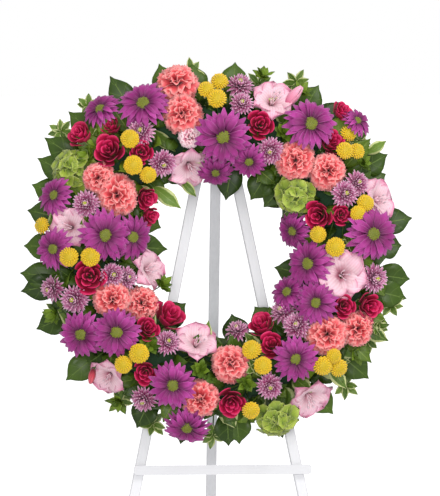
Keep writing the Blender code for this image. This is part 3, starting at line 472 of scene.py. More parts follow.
class Growth:
    """A piece under construction: thin blades, which get their thickness at the end, and solid forms."""

    def __init__(self, name: str, dice: random.Random) -> None:
        """Start an empty piece."""
        self.name = name
        self.dice = dice
        self.bm = bmesh.new()
        self.layers = {what: self.bm.verts.layers.float.new(what.value) for what in Carried}
        self.blades: list[bmesh.types.BMFace] = []
        self.finishes: list[bpy.types.Material] = []

    def slot(self, finish: bpy.types.Material) -> int:
        """The number of a finish on this piece."""
        if finish not in self.finishes:
            self.finishes.append(finish)
        return self.finishes.index(finish)

    def carry(self, vert: bmesh.types.BMVert, reach: float, aside: float, tone: float,
              depth: float) -> None:
        """Note on a vertex what its finish reads."""
        for what, value in zip(Carried, (reach, aside, tone, depth)):
            vert[self.layers[what]] = value

    def blade(self, form: Callable[[float, float], Vector], place: Matrix, cells: tuple[int, int],
              finish: bpy.types.Material, tone: float = 0.0, shade: float = 0.0) -> None:
        """Add a petal or leaf.

        Args:
            form: Where a point lies, from its reach (0 to 1) and how far aside it is (-1 to 1).
            place: The frame that the form is given in.
            cells: How many faces it has across and along.
            finish: Its material.
            tone: How much it differs from its neighbours, from 0 to 1.
            shade: How much painted shade darkens its root, from 0 to 1.
        """
        grid = bmesh.ops.create_grid(self.bm, x_segments=cells[0], y_segments=cells[1], size=1.0)
        number = self.slot(finish)
        faces = {face for vert in grid["verts"] for face in vert.link_faces}
        for vert in grid["verts"]:
            aside, reach = vert.co.x, (vert.co.y + 1.0) / 2.0
            vert.co = place @ form(reach, aside)
            # painted shade, strongest at the root and fading out along the reach
            self.carry(vert, reach, aside, tone, shade * (1.0 - reach) ** 1.5)
        for face in faces:
            face.material_index = number
        self.blades += faces

    def solid(self, verts: list[bmesh.types.BMVert], finish: bpy.types.Material, tone: float = 0.0,
              depth: float = 0.0) -> None:
        """Dress a closed form whose vertices were just made; depth darkens it all with painted shade."""
        number = self.slot(finish)
        for face in {face for vert in verts for face in vert.link_faces}:
            face.material_index = number
        for vert in verts:
            self.carry(vert, 0.6, 0.5, tone, depth)

    def rod(self, points: list[Vector], radii: tuple[float, float], finish: bpy.types.Material,
            sides: int = 5) -> None:
        """Add a stem as short tapering cones from point to point."""
        steps = len(points) - 1
        for step in range(steps):
            low, high = points[step], points[step + 1]
            first = radii[0] + (radii[1] - radii[0]) * step / steps
            second = radii[0] + (radii[1] - radii[0]) * (step + 1) / steps
            turn = basis((high - low).normalized(), 0.0, (low + high) / 2.0)
            made = bmesh.ops.create_cone(self.bm, cap_ends=True, segments=sides, radius1=first,
                                         radius2=second, depth=(high - low).length * STEM_OVERLAP,
                                         matrix=turn)
            self.solid(made["verts"], finish)

    def ball(self, place: Matrix, size: Vector, finish: bpy.types.Material, tone: float = 0.0,
             steps: tuple[int, int] = (6, 4), depth: float = 0.0) -> None:
        """Add a small globe, stretched to its half sizes; depth darkens it with painted shade."""
        made = bmesh.ops.create_uvsphere(self.bm, u_segments=steps[0], v_segments=steps[1], radius=1.0,
                                         matrix=place @ Matrix.Diagonal((*size, 1.0)))
        self.solid(made["verts"], finish, tone, depth)

    def finish(self, slot: str, body: str = "front", nodes: tuple[str, ...] = (),
               thickness: float = 0.3 * MM) -> bpy.types.Object:
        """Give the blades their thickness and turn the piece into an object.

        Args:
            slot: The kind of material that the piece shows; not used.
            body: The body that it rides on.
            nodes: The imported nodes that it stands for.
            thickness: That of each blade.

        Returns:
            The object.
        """
        if self.blades:
            bmesh.ops.solidify(self.bm, geom=self.blades, thickness=thickness)
        bmesh.ops.recalc_face_normals(self.bm, faces=self.bm.faces)
        obj = mesh_object(self.name, self.bm)
        obj.data.shade_smooth()
        for material in self.finishes:
            obj.data.materials.append(material)
        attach(obj, body)
        if nodes:
            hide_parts(*nodes)
        LOG.info("%s: %d faces", self.name, len(obj.data.polygons))
        return obj


@dataclass(frozen=True)
class Finishes:
    """Every material of the wreath, each made once."""

    daisy: bpy.types.Material
    daisy_eye: bpy.types.Material
    rose: bpy.types.Material
    carnation: bpy.types.Material
    carnation_mini: bpy.types.Material
    gladiolus: bpy.types.Material
    anther: bpy.types.Material
    button: bpy.types.Material
    cushion: bpy.types.Material
    cushion_eye: bpy.types.Material
    hydrangea: bpy.types.Material
    stem: bpy.types.Material
    salal: bpy.types.Material
    pittosporum: bpy.types.Material
    young: bpy.types.Material
    rose_bud: bpy.types.Material
    gladiolus_bud: bpy.types.Material


def lobe(reach: float, root: float, widest: float, tip: float) -> float:
    """A blade's half width along its reach, as a share: root, widest part and tip."""
    if reach < widest:
        share = math.sin(reach / widest * math.pi / 2.0)
        return root + (1.0 - root) * share
    share = (reach - widest) / (1.0 - widest)
    return tip + (1.0 - tip) * math.sqrt(max(1.0 - share * share, 0.0))


@dataclass(frozen=True)
class Bloom:
    """What every kind of bloom has.

    The slot is what its spray shows. The heart lies that far from the middle of the foam's section, and
    the stem ends at the foot, a share of the radius behind it. A bloom is built wider than its place in
    the table by its fullness, because its ragged rim looks narrower than it is.
    """

    slot: str
    heart: float
    foot: float = 0.44
    fullness: float = 1.05
    root: float = 0.10  # from the bloom's axis to the petals' roots, as a share of its radius

    def build(self, growth: Growth, spot: Spot, finishes: Finishes) -> None:
        """Add the bloom."""
        raise NotImplementedError


@dataclass(frozen=True)
class DaisyMum(Bloom):
    """A daisy chrysanthemum: two rows of grooved ray petals round a low disc of tiny florets."""

    petals: int = 20
    rows: tuple[tuple[float, float], ...] = ((1.0, 0.02), (0.86, 0.16))  # length and lift of each
    eye: float = 0.26
    florets: int = 60
    slot: str = "daisy_petal"
    heart: float = 0.082
    fullness: float = 1.06

    def build(self, growth: Growth, spot: Spot, finishes: Finishes) -> None:
        """Add the bloom."""
        size = spot.radius * self.fullness
        dice = growth.dice
        root = self.root * size
        for row, (share, lift) in enumerate(self.rows):
            petals = self.petals - 3 * row
            for index in range(petals):
                turn = math.tau * (index + 0.5 * row + dice.uniform(-0.25, 0.25)) / petals
                length = size * share * dice.uniform(0.90, 1.04)
                rise = lift + dice.uniform(-0.05, 0.07)
                twist = dice.uniform(-0.03, 0.03) * size
                arch = dice.uniform(0.14, 0.26)

                def form(reach: float, aside: float) -> Vector:
                    """One ray petal, arched and grooved along its middle."""
                    half = 0.122 * size * lobe(reach, 0.42, 0.66, 0.30)
                    out = root + (length - root) * reach * (1.0 - 0.035 * aside * aside * reach)
                    up = size * (rise + arch * math.sin(reach * 2.5) - 0.14 * reach * reach)
                    groove = 0.030 * size * math.cos(aside * math.pi) * (1.0 - 0.5 * reach)
                    return Vector((out, aside * half, up - groove + twist * aside))

                # last value: painted shade at the petals' roots
                growth.blade(form, spot.frame(turn), (4, 4), finishes.daisy, dice.random(), 0.8)
        eye = spot.frame(0.0, 0.20 * size)
        reach = self.eye * size
        # last value: painted shade on the disc
        growth.ball(eye, Vector((reach, reach, 0.13 * size)), finishes.daisy_eye, 0.6, (16, 6), 0.15)
        for index in range(self.florets):
            share = math.sqrt((index + 0.5) / self.florets)
            up = 0.12 * size * math.sqrt(max(1.0 - 0.8 * share * share, 0.0))
            at = eye @ Matrix.Translation(around(reach * 0.90 * share, index * GOLDEN, up))
            knob = Vector((0.026, 0.026, 0.04)) * size
            growth.ball(at, knob, finishes.daisy_eye, 0.9 - 0.7 * share, (4, 3))


@dataclass(frozen=True)
class SprayRose(Bloom):
    """A spray rose: petals wrapped in a spiral, the outer ones open and rolled back at the rim."""

    petals: int = 16
    slot: str = "rose_petal"
    heart: float = 0.064

    def build(self, growth: Growth, spot: Spot, finishes: Finishes) -> None:
        """Add the bloom."""
        size = spot.radius * self.fullness
        dice = growth.dice
        for index in range(self.petals):
            share = (index + 0.5) / self.petals
            rim = size * (0.035 + 0.905 * share ** 0.9)
            top = size * (1.00 - 0.40 * share ** 1.6)
            spread = math.radians(95.0 - 38.0 * share)
            roll = dice.uniform(0.05, 0.12) + 0.14 * share
            wave = dice.uniform(0.0, math.tau)

            def form(reach: float, aside: float) -> Vector:
                """One cupped petal, from its foot to its rolled rim."""
                high = reach * (1.0 - 0.16 * aside * aside * reach)
                belly = math.sin(min(high * 1.25, 1.0) * math.pi / 2.0) ** 0.7
                out = rim * belly * (0.80 if high < 0.2 else 1.0) * (1.0 - 0.10 * high * (1.0 - share))
                out += roll * size * max(high - 0.72, 0.0) * 3.0
                out += 0.03 * size * math.sin(3.0 * aside + wave) * high
                up = -0.50 * size + (top + 0.50 * size) * high - roll * size * 2.2 * max(high - 0.86, 0.0)
                return around(out, aside * spread / 2.0, up)

            # last value: painted shade deep in the cup
            growth.blade(form, spot.frame(index * GOLDEN), (6, 5), finishes.rose, 0.6 * dice.random(), 0.6)


@dataclass(frozen=True)
class Carnation(Bloom):
    """A carnation: many crowded petals, each a ruffled fan with a toothed edge."""

    petals: int = 34
    smallest: float = 0.02  # a bloom of a smaller radius is the pink one
    slot: str = "carnation_petal"
    heart: float = 0.066
    foot: float = 0.34
    fullness: float = 1.10

    def build(self, growth: Growth, spot: Spot, finishes: Finishes) -> None:
        """Add the bloom."""
        size = spot.radius * self.fullness
        dice = growth.dice
        finish = finishes.carnation if size > self.smallest else finishes.carnation_mini
        root = self.root * size
        for index in range(self.petals):
            share = (index + 0.5) / self.petals
            rise = math.radians(86.0 - 84.0 * share ** 0.75 + dice.uniform(-8.0, 8.0))
            length = size * (0.84 + 0.16 * share) * dice.uniform(0.90, 1.05)
            phase = dice.uniform(0.0, math.tau)
            waves = dice.uniform(5.0, 8.5)
            depth = size * (0.09 + 0.05 * share)
            half = size * (0.34 + 0.18 * share)
            lean = dice.uniform(-0.3, 0.3)

            def form(reach: float, aside: float) -> Vector:
                """One ruffled fan."""
                tooth = 0.07 * (round((aside + 1.0) * 6.0) % 2) * (reach > 0.95)
                out = root + (length - root) * (reach - tooth) * (1.0 - 0.12 * aside * aside)
                side = aside * half * (0.12 + 0.88 * reach ** 1.3)
                ruffle = depth * reach * reach * math.sin(waves * aside + phase)
                bend = rise - 0.55 * reach * reach * share
                return bent(out, side + lean * ruffle, ruffle, bend, 0.12 * size)

            # last value: painted shade at the petals' roots
            growth.blade(form, spot.frame(index * GOLDEN), (12, 4), finish, dice.random(), 0.75)


@dataclass(frozen=True)
class Gladiolus(Bloom):
    """An open gladiolus flower: six waved tepals in a funnel, with three stamens and a style, all rods."""

    tepals: int = 6
    stamens: int = 4
    slot: str = "gladiolus_petal"
    heart: float = 0.068
    foot: float = 0.64
    fullness: float = 1.08

    def build(self, growth: Growth, spot: Spot, finishes: Finishes) -> None:
        """Add the bloom."""
        size = spot.radius * self.fullness
        dice = growth.dice
        start = dice.uniform(0.0, math.tau)
        for index in range(self.tepals):
            inner = index % 2
            length = size * dice.uniform(0.92, 1.08)
            wave = dice.uniform(0.0, math.tau)
            flare = dice.uniform(0.15, 0.42)
            half = size * (0.46 if inner else 0.56)

            def form(reach: float, aside: float) -> Vector:
                """One tepal of the funnel."""
                width = half * lobe(reach, 0.10, 0.62, 0.06)
                out = 0.015 * size + length * (0.36 * reach + 0.62 * reach * reach)
                up = size * (-0.40 + 1.10 * reach - (0.40 + flare) * reach ** 3)
                edge = aside * aside * reach
                ruffle = 0.095 * math.sin(5.0 * aside + 7.0 * reach + wave) * reach * abs(aside)
                up += size * (0.10 * edge + ruffle)
                up -= 0.03 * size * math.cos(aside * math.pi / 2.0) * inner
                return Vector((out - 0.10 * size * edge, aside * width, up))

            place = spot.frame(start + math.tau * index / self.tepals)
            # last value: painted shade in the throat
            growth.blade(form, place, (8, 8), finishes.gladiolus, 0.5 * dice.random(), 0.45)
        place = spot.frame(start)
        for index in range(self.stamens):
            turn = math.tau * index / self.stamens + 0.4
            tip = (around(0.16, turn, 0.42) + Vector((0.12, 0.0, 0.0))) * size
            foot = around(0.02, turn, -0.3) * size
            middle = foot.lerp(tip, 0.5) + Vector((-0.04, 0.0, 0.02)) * size
            line = [place @ point for point in (foot, middle, tip)]
            growth.rod(line, (0.026 * size, 0.018 * size), finishes.gladiolus, 4)
            knob = Vector((0.035, 0.035, 0.11)) * size
            growth.ball(place @ Matrix.Translation(tip), knob, finishes.anther, 0.2, (5, 4))


@dataclass(frozen=True)
class ButtonMum(Bloom):
    """A button chrysanthemum: a tight dome of short quilled florets round a faint green middle."""

    florets: int = 84
    slot: str = "button_floret"
    heart: float = 0.088
    fullness: float = 1.02

    def build(self, growth: Growth, spot: Spot, finishes: Finishes) -> None:
        """Add the bloom."""
        size = spot.radius * self.fullness
        place = spot.frame(growth.dice.uniform(0.0, math.tau))
        core = Vector((0.80, 0.80, 0.62)) * size
        # last value: painted shade on the core under the florets
        growth.ball(place, core, finishes.button, 0.4, (10, 8), 0.25)
        for index in range(self.florets):
            share = (index + 0.5) / self.florets
            polar = math.acos(1.0 - 1.35 * share)
            out = around(math.sin(polar), index * GOLDEN, 0.78 * math.cos(polar))
            reach = 0.86 + 0.14 * share
            width = size * (0.045 + 0.095 * math.sqrt(share))
            at = place @ Matrix.Translation(out * (reach * size * growth.dice.uniform(0.80, 0.90)))
            made = bmesh.ops.create_cone(growth.bm, cap_ends=True, segments=5, radius1=width,
                                         radius2=width * 0.62, depth=size * 0.34,
                                         matrix=at @ turn_to(out))
            growth.solid(made["verts"], finishes.button, 1.0 - min(share * 9.0, 1.0))


@dataclass(frozen=True)
class CushionMum(Bloom):
    """A small double chrysanthemum: rows of narrow channelled petals, pale at their tips."""

    petals: int = 90
    slot: str = "cushion_petal"
    heart: float = 0.074
    fullness: float = 1.16

    def build(self, growth: Growth, spot: Spot, finishes: Finishes) -> None:
        """Add the bloom."""
        size = spot.radius * self.fullness
        dice = growth.dice
        root = self.root * size
        for index in range(self.petals):
            share = (index + 5.5) / (self.petals + 5.0)
            rise = math.radians(80.0 - 92.0 * share ** 0.8 + dice.uniform(-6.0, 6.0))
            length = size * (0.50 + 0.52 * share ** 0.7) * dice.uniform(0.92, 1.06)
            half = size * (0.075 + 0.03 * share)
            hook = 0.55 - 0.75 * share

            def form(reach: float, aside: float) -> Vector:
                """One narrow petal, hooked in at the middle of the bloom and out at its rim."""
                bend = rise + hook * reach * reach
                out = root + (length - root) * reach * (1.0 - 0.05 * aside * aside)
                up = 0.035 * size * aside * aside
                width = half * lobe(reach, 0.5, 0.7, 0.35)
                return bent(out, aside * width, up, bend, 0.05 * size)

            # last value: painted shade in the bloom's middle
            growth.blade(form, spot.frame(index * GOLDEN), (2, 3), finishes.cushion, dice.random(), 1.0)
        eye = spot.frame(0.0, 0.46 * size)
        growth.ball(eye, Vector((0.16, 0.16, 0.12)) * size, finishes.cushion_eye, 0.5, (8, 5))


@dataclass(frozen=True)
class HydrangeaHead(Bloom):
    """A green hydrangea: a dome of four-petalled florets."""

    florets: int = 11
    sepals: int = 4
    slot: str = "hydrangea_floret"
    heart: float = 0.066

    def build(self, growth: Growth, spot: Spot, finishes: Finishes) -> None:
        """Add the bloom."""
        size = spot.radius * self.fullness
        dice = growth.dice
        dome = spot.frame(0.0)
        # last value: painted shade on the dome under the florets
        growth.ball(dome, Vector((0.62, 0.62, 0.50)) * size, finishes.stem, 0.2, (10, 8), 0.6)
        for index in range(self.florets):
            share = (index + 0.5) / self.florets
            polar = math.acos(1.0 - 0.95 * share)
            out = around(math.sin(polar), index * GOLDEN, 0.80 * math.cos(polar))
            facing = (out + Vector((0.0, 0.0, 0.5 + dice.uniform(-0.2, 0.2)))).normalized()
            at = dome @ Matrix.Translation(out * size * dice.uniform(0.66, 0.84))
            at = at @ turn_to(facing) @ Matrix.Rotation(dice.uniform(0.0, math.tau), 4, "Z")
            reach_out = size * dice.uniform(0.54, 0.74)
            cup = dice.uniform(-0.12, 0.10)
            for quarter in range(self.sepals):

                def form(reach: float, aside: float) -> Vector:
                    """One round sepal."""
                    width = reach_out * 0.58 * lobe(reach, 0.2, 0.50, 0.0)
                    long = reach_out * (0.06 + 0.94 * reach * (1.0 - 0.06 * aside * aside))
                    lift = cup * reach * reach + 0.12 * aside * aside
                    lift += 0.05 * math.sin(5.0 * aside + 6.0 * reach)
                    return Vector((long, aside * width, reach_out * lift))

                place = at @ Matrix.Rotation(quarter * math.tau / self.sepals, 4, "Z")
                # last value: painted shade at the sepals' roots
                growth.blade(form, place, (4, 4), finishes.hydrangea, dice.random(), 0.5)
            knob = Vector((0.04, 0.04, 0.05)) * size
            growth.ball(at, knob, finishes.hydrangea, 0.0, (4, 3))


class Kind(Enum):
    """The kinds of flower in the wreath."""

    DAISY = DaisyMum()
    ROSE = SprayRose()
    CARNATION = Carnation()
    GLADIOLUS = Gladiolus()
    BUTTON = ButtonMum()
    CUSHION = CushionMum()
    HYDRANGEA = HydrangeaHead()


Planting = dict[str, tuple]
Branches = dict[str, tuple[tuple[float, float], tuple[tuple[float, float], ...]]]

# For each spray its kind and its blooms, each (across, up, width) in the wreath's face, the leader first.
SPRAYS: Planting = {
    "daisy_spray_1": (Kind.DAISY, (-0.115, 0.226, 0.080), (-0.180, 0.219, 0.062)),
    "daisy_spray_2": (Kind.DAISY, (0.006, 0.177, 0.086), (-0.005, 0.127, 0.056), (0.047, 0.141, 0.056)),
    "daisy_spray_3": (
        Kind.DAISY, (-0.178, 0.025, 0.080), (-0.138, 0.023, 0.072), (-0.253, 0.005, 0.066),
        (-0.251, 0.087, 0.062),
    ),
    "daisy_spray_4": (Kind.DAISY, (-0.212, -0.126, 0.074), (-0.160, -0.124, 0.076)),
    "daisy_spray_5": (Kind.DAISY, (-0.074, -0.205, 0.074), (-0.050, -0.267, 0.072)),
    "daisy_spray_6": (Kind.DAISY, (0.140, 0.194, 0.084), (0.214, 0.200, 0.050)),
    "daisy_spray_7": (
        Kind.DAISY, (0.149, -0.081, 0.066), (0.109, -0.065, 0.062), (0.141, -0.020, 0.076),
        (0.119, 0.033, 0.060), (0.234, 0.025, 0.084), (0.115, -0.167, 0.070),
    ),
    "rose_spray_1": (
        Kind.ROSE, (-0.167, 0.155, 0.050), (-0.163, 0.192, 0.034), (-0.209, 0.180, 0.042),
        (-0.121, 0.155, 0.040),
    ),
    "rose_spray_2": (Kind.ROSE, (-0.115, 0.088, 0.036), (-0.110, 0.060, 0.032)),
    "rose_spray_3": (Kind.ROSE, (0.172, 0.167, 0.042), (0.190, 0.214, 0.034), (0.064, 0.195, 0.044)),
    "rose_spray_4": (Kind.ROSE, (0.157, 0.056, 0.046), (0.189, 0.056, 0.032)),
    "rose_spray_5": (
        Kind.ROSE, (-0.113, -0.121, 0.038), (-0.081, -0.104, 0.050), (-0.115, -0.184, 0.038),
        (-0.200, -0.037, 0.052),
    ),
    "rose_spray_6": (Kind.ROSE, (0.082, -0.147, 0.042), (0.070, -0.118, 0.044), (0.017, -0.229, 0.046)),
    "rose_spray_7": (Kind.ROSE, (0.191, -0.084, 0.038), (0.228, -0.084, 0.044)),
    "carnations_1": (Kind.CARNATION, (-0.056, 0.214, 0.062), (-0.062, 0.264, 0.066), (-0.045, 0.177, 0.036)),
    "carnations_2": (Kind.CARNATION, (-0.157, 0.088, 0.066), (-0.186, 0.115, 0.050)),
    "carnations_3": (Kind.CARNATION, (0.169, 0.124, 0.058), (0.119, 0.140, 0.062)),
    "carnations_4": (Kind.CARNATION, (-0.166, -0.073, 0.058), (-0.119, -0.078, 0.056)),
    "carnations_5": (Kind.CARNATION, (0.017, -0.172, 0.060), (-0.031, -0.228, 0.060)),
    "carnations_6": (Kind.CARNATION, (0.166, -0.129, 0.064), (0.214, -0.121, 0.056)),
    "gladiolus_1": (Kind.GLADIOLUS, (-0.045, 0.133, 0.070)),
    "gladiolus_2": (Kind.GLADIOLUS, (-0.231, 0.039, 0.066), (-0.110, -0.026, 0.064)),
    "gladiolus_3": (Kind.GLADIOLUS, (0.084, 0.233, 0.074)),
    "gladiolus_4": (Kind.GLADIOLUS, (0.188, -0.037, 0.084), (0.248, 0.082, 0.068)),
    "gladiolus_5": (Kind.GLADIOLUS, (-0.036, -0.141, 0.070), (-0.172, -0.191, 0.060)),
    "gladiolus_6": (Kind.GLADIOLUS, (0.140, -0.226, 0.072)),
    "button_spray_1": (Kind.BUTTON, (-0.003, 0.236, 0.030), (0.002, 0.264, 0.028), (-0.019, 0.251, 0.026)),
    "button_spray_2": (Kind.BUTTON, (-0.133, 0.133, 0.030), (-0.138, 0.174, 0.029), (-0.110, 0.118, 0.026)),
    "button_spray_3": (Kind.BUTTON, (-0.200, -0.008, 0.030), (-0.233, -0.008, 0.030), (-0.274, 0.042, 0.026)),
    "button_spray_4": (
        Kind.BUTTON, (0.195, 0.155, 0.028), (0.202, 0.183, 0.026), (0.215, 0.155, 0.025),
        (0.226, 0.073, 0.027), (0.214, 0.057, 0.025), (0.178, 0.005, 0.030), (0.152, 0.025, 0.026),
    ),
    "button_spray_5": (Kind.BUTTON, (-0.126, -0.157, 0.031), (-0.150, -0.174, 0.028)),
    "button_spray_6": (
        Kind.BUTTON, (0.048, -0.152, 0.030), (0.065, -0.177, 0.028), (0.047, -0.246, 0.028),
        (0.158, -0.178, 0.030), (0.183, -0.181, 0.029), (0.175, -0.163, 0.024),
    ),
    "cushion_spray_1": (Kind.CUSHION, (-0.121, 0.186, 0.042), (-0.087, 0.136, 0.042)),
    "cushion_spray_2": (
        Kind.CUSHION, (-0.166, -0.036, 0.038), (-0.144, -0.040, 0.036), (-0.225, -0.073, 0.043),
        (-0.259, -0.056, 0.040), (-0.206, 0.074, 0.042),
    ),
    "cushion_spray_3": (Kind.CUSHION, (0.036, 0.229, 0.036), (0.034, 0.259, 0.042), (0.079, 0.155, 0.041)),
    "cushion_spray_4": (Kind.CUSHION, (0.195, 0.088, 0.041), (0.214, 0.105, 0.038), (0.240, -0.043, 0.044)),
    "cushion_spray_5": (
        Kind.CUSHION, (0.119, -0.115, 0.043), (0.098, -0.093, 0.040), (0.076, -0.209, 0.040),
        (0.028, -0.122, 0.036), (-0.081, -0.140, 0.038), (-0.118, -0.228, 0.040),
    ),
    "hydrangea_1": (Kind.HYDRANGEA, (-0.225, 0.126, 0.066)),
    "hydrangea_2": (Kind.HYDRANGEA, (0.119, 0.088, 0.060)),
    "hydrangea_3": (Kind.HYDRANGEA, (0.088, -0.257, 0.062)),
}

# For each branch the clock angles of its ends, in degrees, and its leaves' tips, each (across, up).
OUTER_LEAVES: Branches = {
    "salal_right": (
        (-52.0, 64.0),
        ((0.195, 0.236), (0.267, 0.153), (0.264, 0.122), (0.305, 0.053), (0.301, -0.043),
         (0.295, -0.073), (0.235, -0.198), (0.288, 0.010), (0.160, 0.262)),
    ),
    "salal_left": (
        (68.0, 184.0),
        ((-0.270, 0.181), (-0.281, 0.149), (-0.167, 0.277), (-0.297, 0.068), (-0.038, 0.295),
         (0.029, 0.298), (-0.090, 0.296), (-0.232, 0.222), (-0.303, 0.012), (-0.290, 0.108)),
    ),
    "salal_low": (
        (188.0, 304.0),
        ((-0.309, -0.030), (-0.308, -0.059), (-0.238, -0.198), (-0.128, -0.273), (0.015, -0.302),
         (0.032, -0.299), (0.179, -0.253), (-0.284, -0.118), (0.100, -0.290), (-0.060, -0.298)),
    ),
}
INNER_LEAVES: Branches = {
    "salal_inner_top": ((44.0, 84.0), ((0.013, 0.081), (0.052, 0.082), (0.072, 0.071))),
    "salal_inner_left": ((154.0, 232.0), ((-0.078, 0.006), (-0.088, 0.039), (-0.050, -0.078))),
    "salal_inner_low": ((280.0, 306.0), ((0.057, -0.084), (0.021, -0.095))),
    "salal_inner_right": ((-16.0, 30.0), ((0.088, -0.023), (0.100, 0.054))),
}
SPRIGS: Branches = {
    "pittosporum_right": (
        (-50.0, 66.0),
        ((0.134, 0.287), (0.292, -0.090), (0.255, -0.150), (0.215, -0.225), (0.240, 0.190)),
    ),
    "pittosporum_left": (
        (70.0, 182.0),
        ((-0.043, 0.306), (-0.216, 0.248), (0.072, 0.287), (-0.262, 0.205)),
    ),
    "pittosporum_low": (
        (190.0, 272.0),
        ((-0.270, -0.098), (-0.167, -0.250), (-0.111, -0.288), (-0.010, -0.308)),
    ),
}


@dataclass(frozen=True)
class Stems:
    """The cut stems of a spray: its leader stands in the foam and the others branch from it."""

    radius: float = 1.5 * MM
    end: float = 18.5 * MM
    fork: float = 44.0 * MM
    bend: float = 0.15

    def build(self, growth: Growth, spots: list[Spot], foot: float, finish: bpy.types.Material) -> None:
        """Add the stems of one spray, with a green cup at each bloom's foot."""
        leader = spots[0]
        low = RING.shell(leader.clock, leader.tilt, self.end)
        fork = RING.shell(leader.clock, leader.tilt, self.fork)
        feet = [spot.heart - spot.axis * (foot * spot.radius) for spot in spots]
        growth.rod([low, fork, feet[0]], (self.radius, self.radius), finish)
        for spot, end in zip(spots[1:], feet[1:]):
            turn = (spot.clock - leader.clock + math.pi) % math.tau - math.pi
            steps = 2 + round(abs(turn) / self.bend)
            line = [RING.shell(leader.clock + turn * step / steps,
                               leader.tilt + (spot.tilt - leader.tilt) * step / steps, self.fork)
                    for step in range(steps + 1)]
            growth.rod([*line, end], (self.radius, 0.8 * self.radius), finish)
        for spot, end in zip(spots, feet):
            cup = basis(spot.axis, 0.0, end)
            # last value: painted shade on the cup under the bloom
            growth.ball(cup, Vector((0.26, 0.26, 0.22)) * spot.radius, finish, 0.3, (8, 5), 0.3)


@dataclass(frozen=True)
class Flowers:
    """Every spray of flowers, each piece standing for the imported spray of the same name."""

    def build(self, finishes: Finishes) -> None:
        """Plant the sprays."""
        for number, (name, (kind, *places)) in enumerate(SPRAYS.items()):
            growth = Growth(f"{name}_in_bloom", Seed.SPRAYS.dice(number))
            bloom = kind.value
            spots = [RING.plant(across, up, width, bloom.heart) for across, up, width in places]
            for spot in spots:
                bloom.build(growth, spot, finishes)
            Stems().build(growth, spots, bloom.foot, finishes.stem)
            growth.finish(bloom.slot, nodes=(name,))


@dataclass(frozen=True)
class Bud:
    """A closed bud beside the open blooms: its foot and tip in the wreath's face, and its width."""

    name: str
    foot: tuple[float, float]
    tip: tuple[float, float]
    width: float
    slot: str
    ahead: float = 66.0 * MM
    rise: float = 6.0 * MM  # how much further ahead its tip is
    petals: int = 3
    planting: float = 24.0 * MM  # from the middle of the foam's section to the end of its stem

    def build(self, finish: bpy.types.Material, stem: bpy.types.Material) -> None:
        """Add the bud: petals rolled round each other on a green cup and a stem."""
        growth = Growth(self.name, Seed.BUDS.dice())
        foot = RING.point(*self.foot, self.ahead)
        tip = RING.point(*self.tip, self.ahead + self.rise)
        length, way = (tip - foot).length, (tip - foot).normalized()
        half = self.width / 2.0
        for index in range(self.petals):

            def form(reach: float, aside: float) -> Vector:
                """One petal, wrapped round the bud from its foot to its point."""
                out = half * (0.25 + 0.75 * math.sin(math.pi * min(reach * 0.62 + 0.12, 1.0)))
                out *= (1.0 + 0.10 * index) * (1.0 - 0.55 * reach ** 3)
                return around(out, 1.5 * aside * (1.0 - 0.3 * reach), length * reach)

            # last values: painted shade at the petals' foot and on the cup
            growth.blade(form, basis(way, index * GOLDEN, foot), (6, 6), finish, 0.2 * index, 0.3)
        growth.ball(basis(way, 0.0, foot), Vector((0.62 * half, 0.62 * half, 0.5 * half)), stem, 0.3,
                    (8, 5), 0.2)
        base = RING.plant(*self.foot, self.width, Foliage.sprig_heart)
        growth.rod([RING.shell(base.clock, base.tilt, self.planting), foot], (1.4 * MM, 1.2 * MM), stem)
        growth.finish(self.slot)


BUDS = (
    Bud("gladiolus_bud", (0.104, 0.226), (0.130, 0.256), 17.0 * MM, "gladiolus_petal"),
    Bud("rose_bud_left", (-0.1955, -0.180), (-0.2010, -0.203), 11.0 * MM, "rose_petal"),
    Bud("rose_bud_right", (0.158, -0.066), (0.164, -0.056), 11.0 * MM, "rose_petal", 88.0 * MM),
)


@dataclass(frozen=True)
class Leaf:
    """A leaf's shape: how wide it is, how it folds along its rib, how it arches and how it waves."""

    width: float = 42.0 * MM
    fold: float = 0.18
    arch: float = 0.10
    wave: float = 1.6 * MM
    widest: float = 0.50
    roundness: float = 0.62
    point: float = 1.10
    cells: tuple[int, int] = (4, 10)

    def add(self, growth: Growth, root: Vector, tip: Vector, facing: Vector,
            finish: bpy.types.Material) -> None:
        """Add a leaf.

        Args:
            growth: The piece that it grows on.
            root: Where its stalk meets it.
            tip: Its point.
            facing: The way that its upper face looks.
            finish: Its material.
        """
        along = (tip - root).normalized()
        side = facing.cross(along).normalized()
        upward = along.cross(side)
        place = Matrix((along, side, upward)).transposed().to_4x4()
        place.translation = root
        length = (tip - root).length
        dice = growth.dice
        phase = dice.uniform(0.0, math.tau)
        turn = dice.uniform(-0.35, 0.35)

        def form(reach: float, aside: float) -> Vector:
            """The blade, folded along its rib and arched."""
            bulge = math.sin(math.pi * reach ** (math.log(0.5) / math.log(self.widest)))
            half = 0.5 * self.width * max(bulge, 0.0) ** (self.roundness + self.point * reach ** 3)
            lift = self.arch * length * math.sin(math.pi * reach) + turn * aside * half
            lift += self.fold * abs(aside) * half
            lift += self.wave * aside * aside * math.sin(9.0 * reach + phase + (1.5 if aside > 0.0 else 0.0))
            return Vector((reach * length, aside * half, lift))

        # last value: painted shade at the leaf's root
        growth.blade(form, place, self.cells, finish, dice.random(), 0.15)


@dataclass(frozen=True)
class RimRow:
    """A row of leaves along a rim: how many, how far over they lean, how far they reach, how wide."""

    name: str
    count: int
    tilt: tuple[float, float]
    reach: tuple[float, float]
    width: tuple[float, float]


RIM_ROWS = (
    RimRow("outer", 124, (56.0, 98.0), (56.0, 80.0), (20.0, 32.0)),
    RimRow("collar", 74, (80.0, 94.0), (64.0, 76.0), (34.0, 42.0)),
    RimRow("inner", 64, (-96.0, -52.0), (58.0, 84.0), (20.0, 30.0)),
    RimRow("lining", 34, (-92.0, -70.0), (56.0, 72.0), (26.0, 34.0)),
)


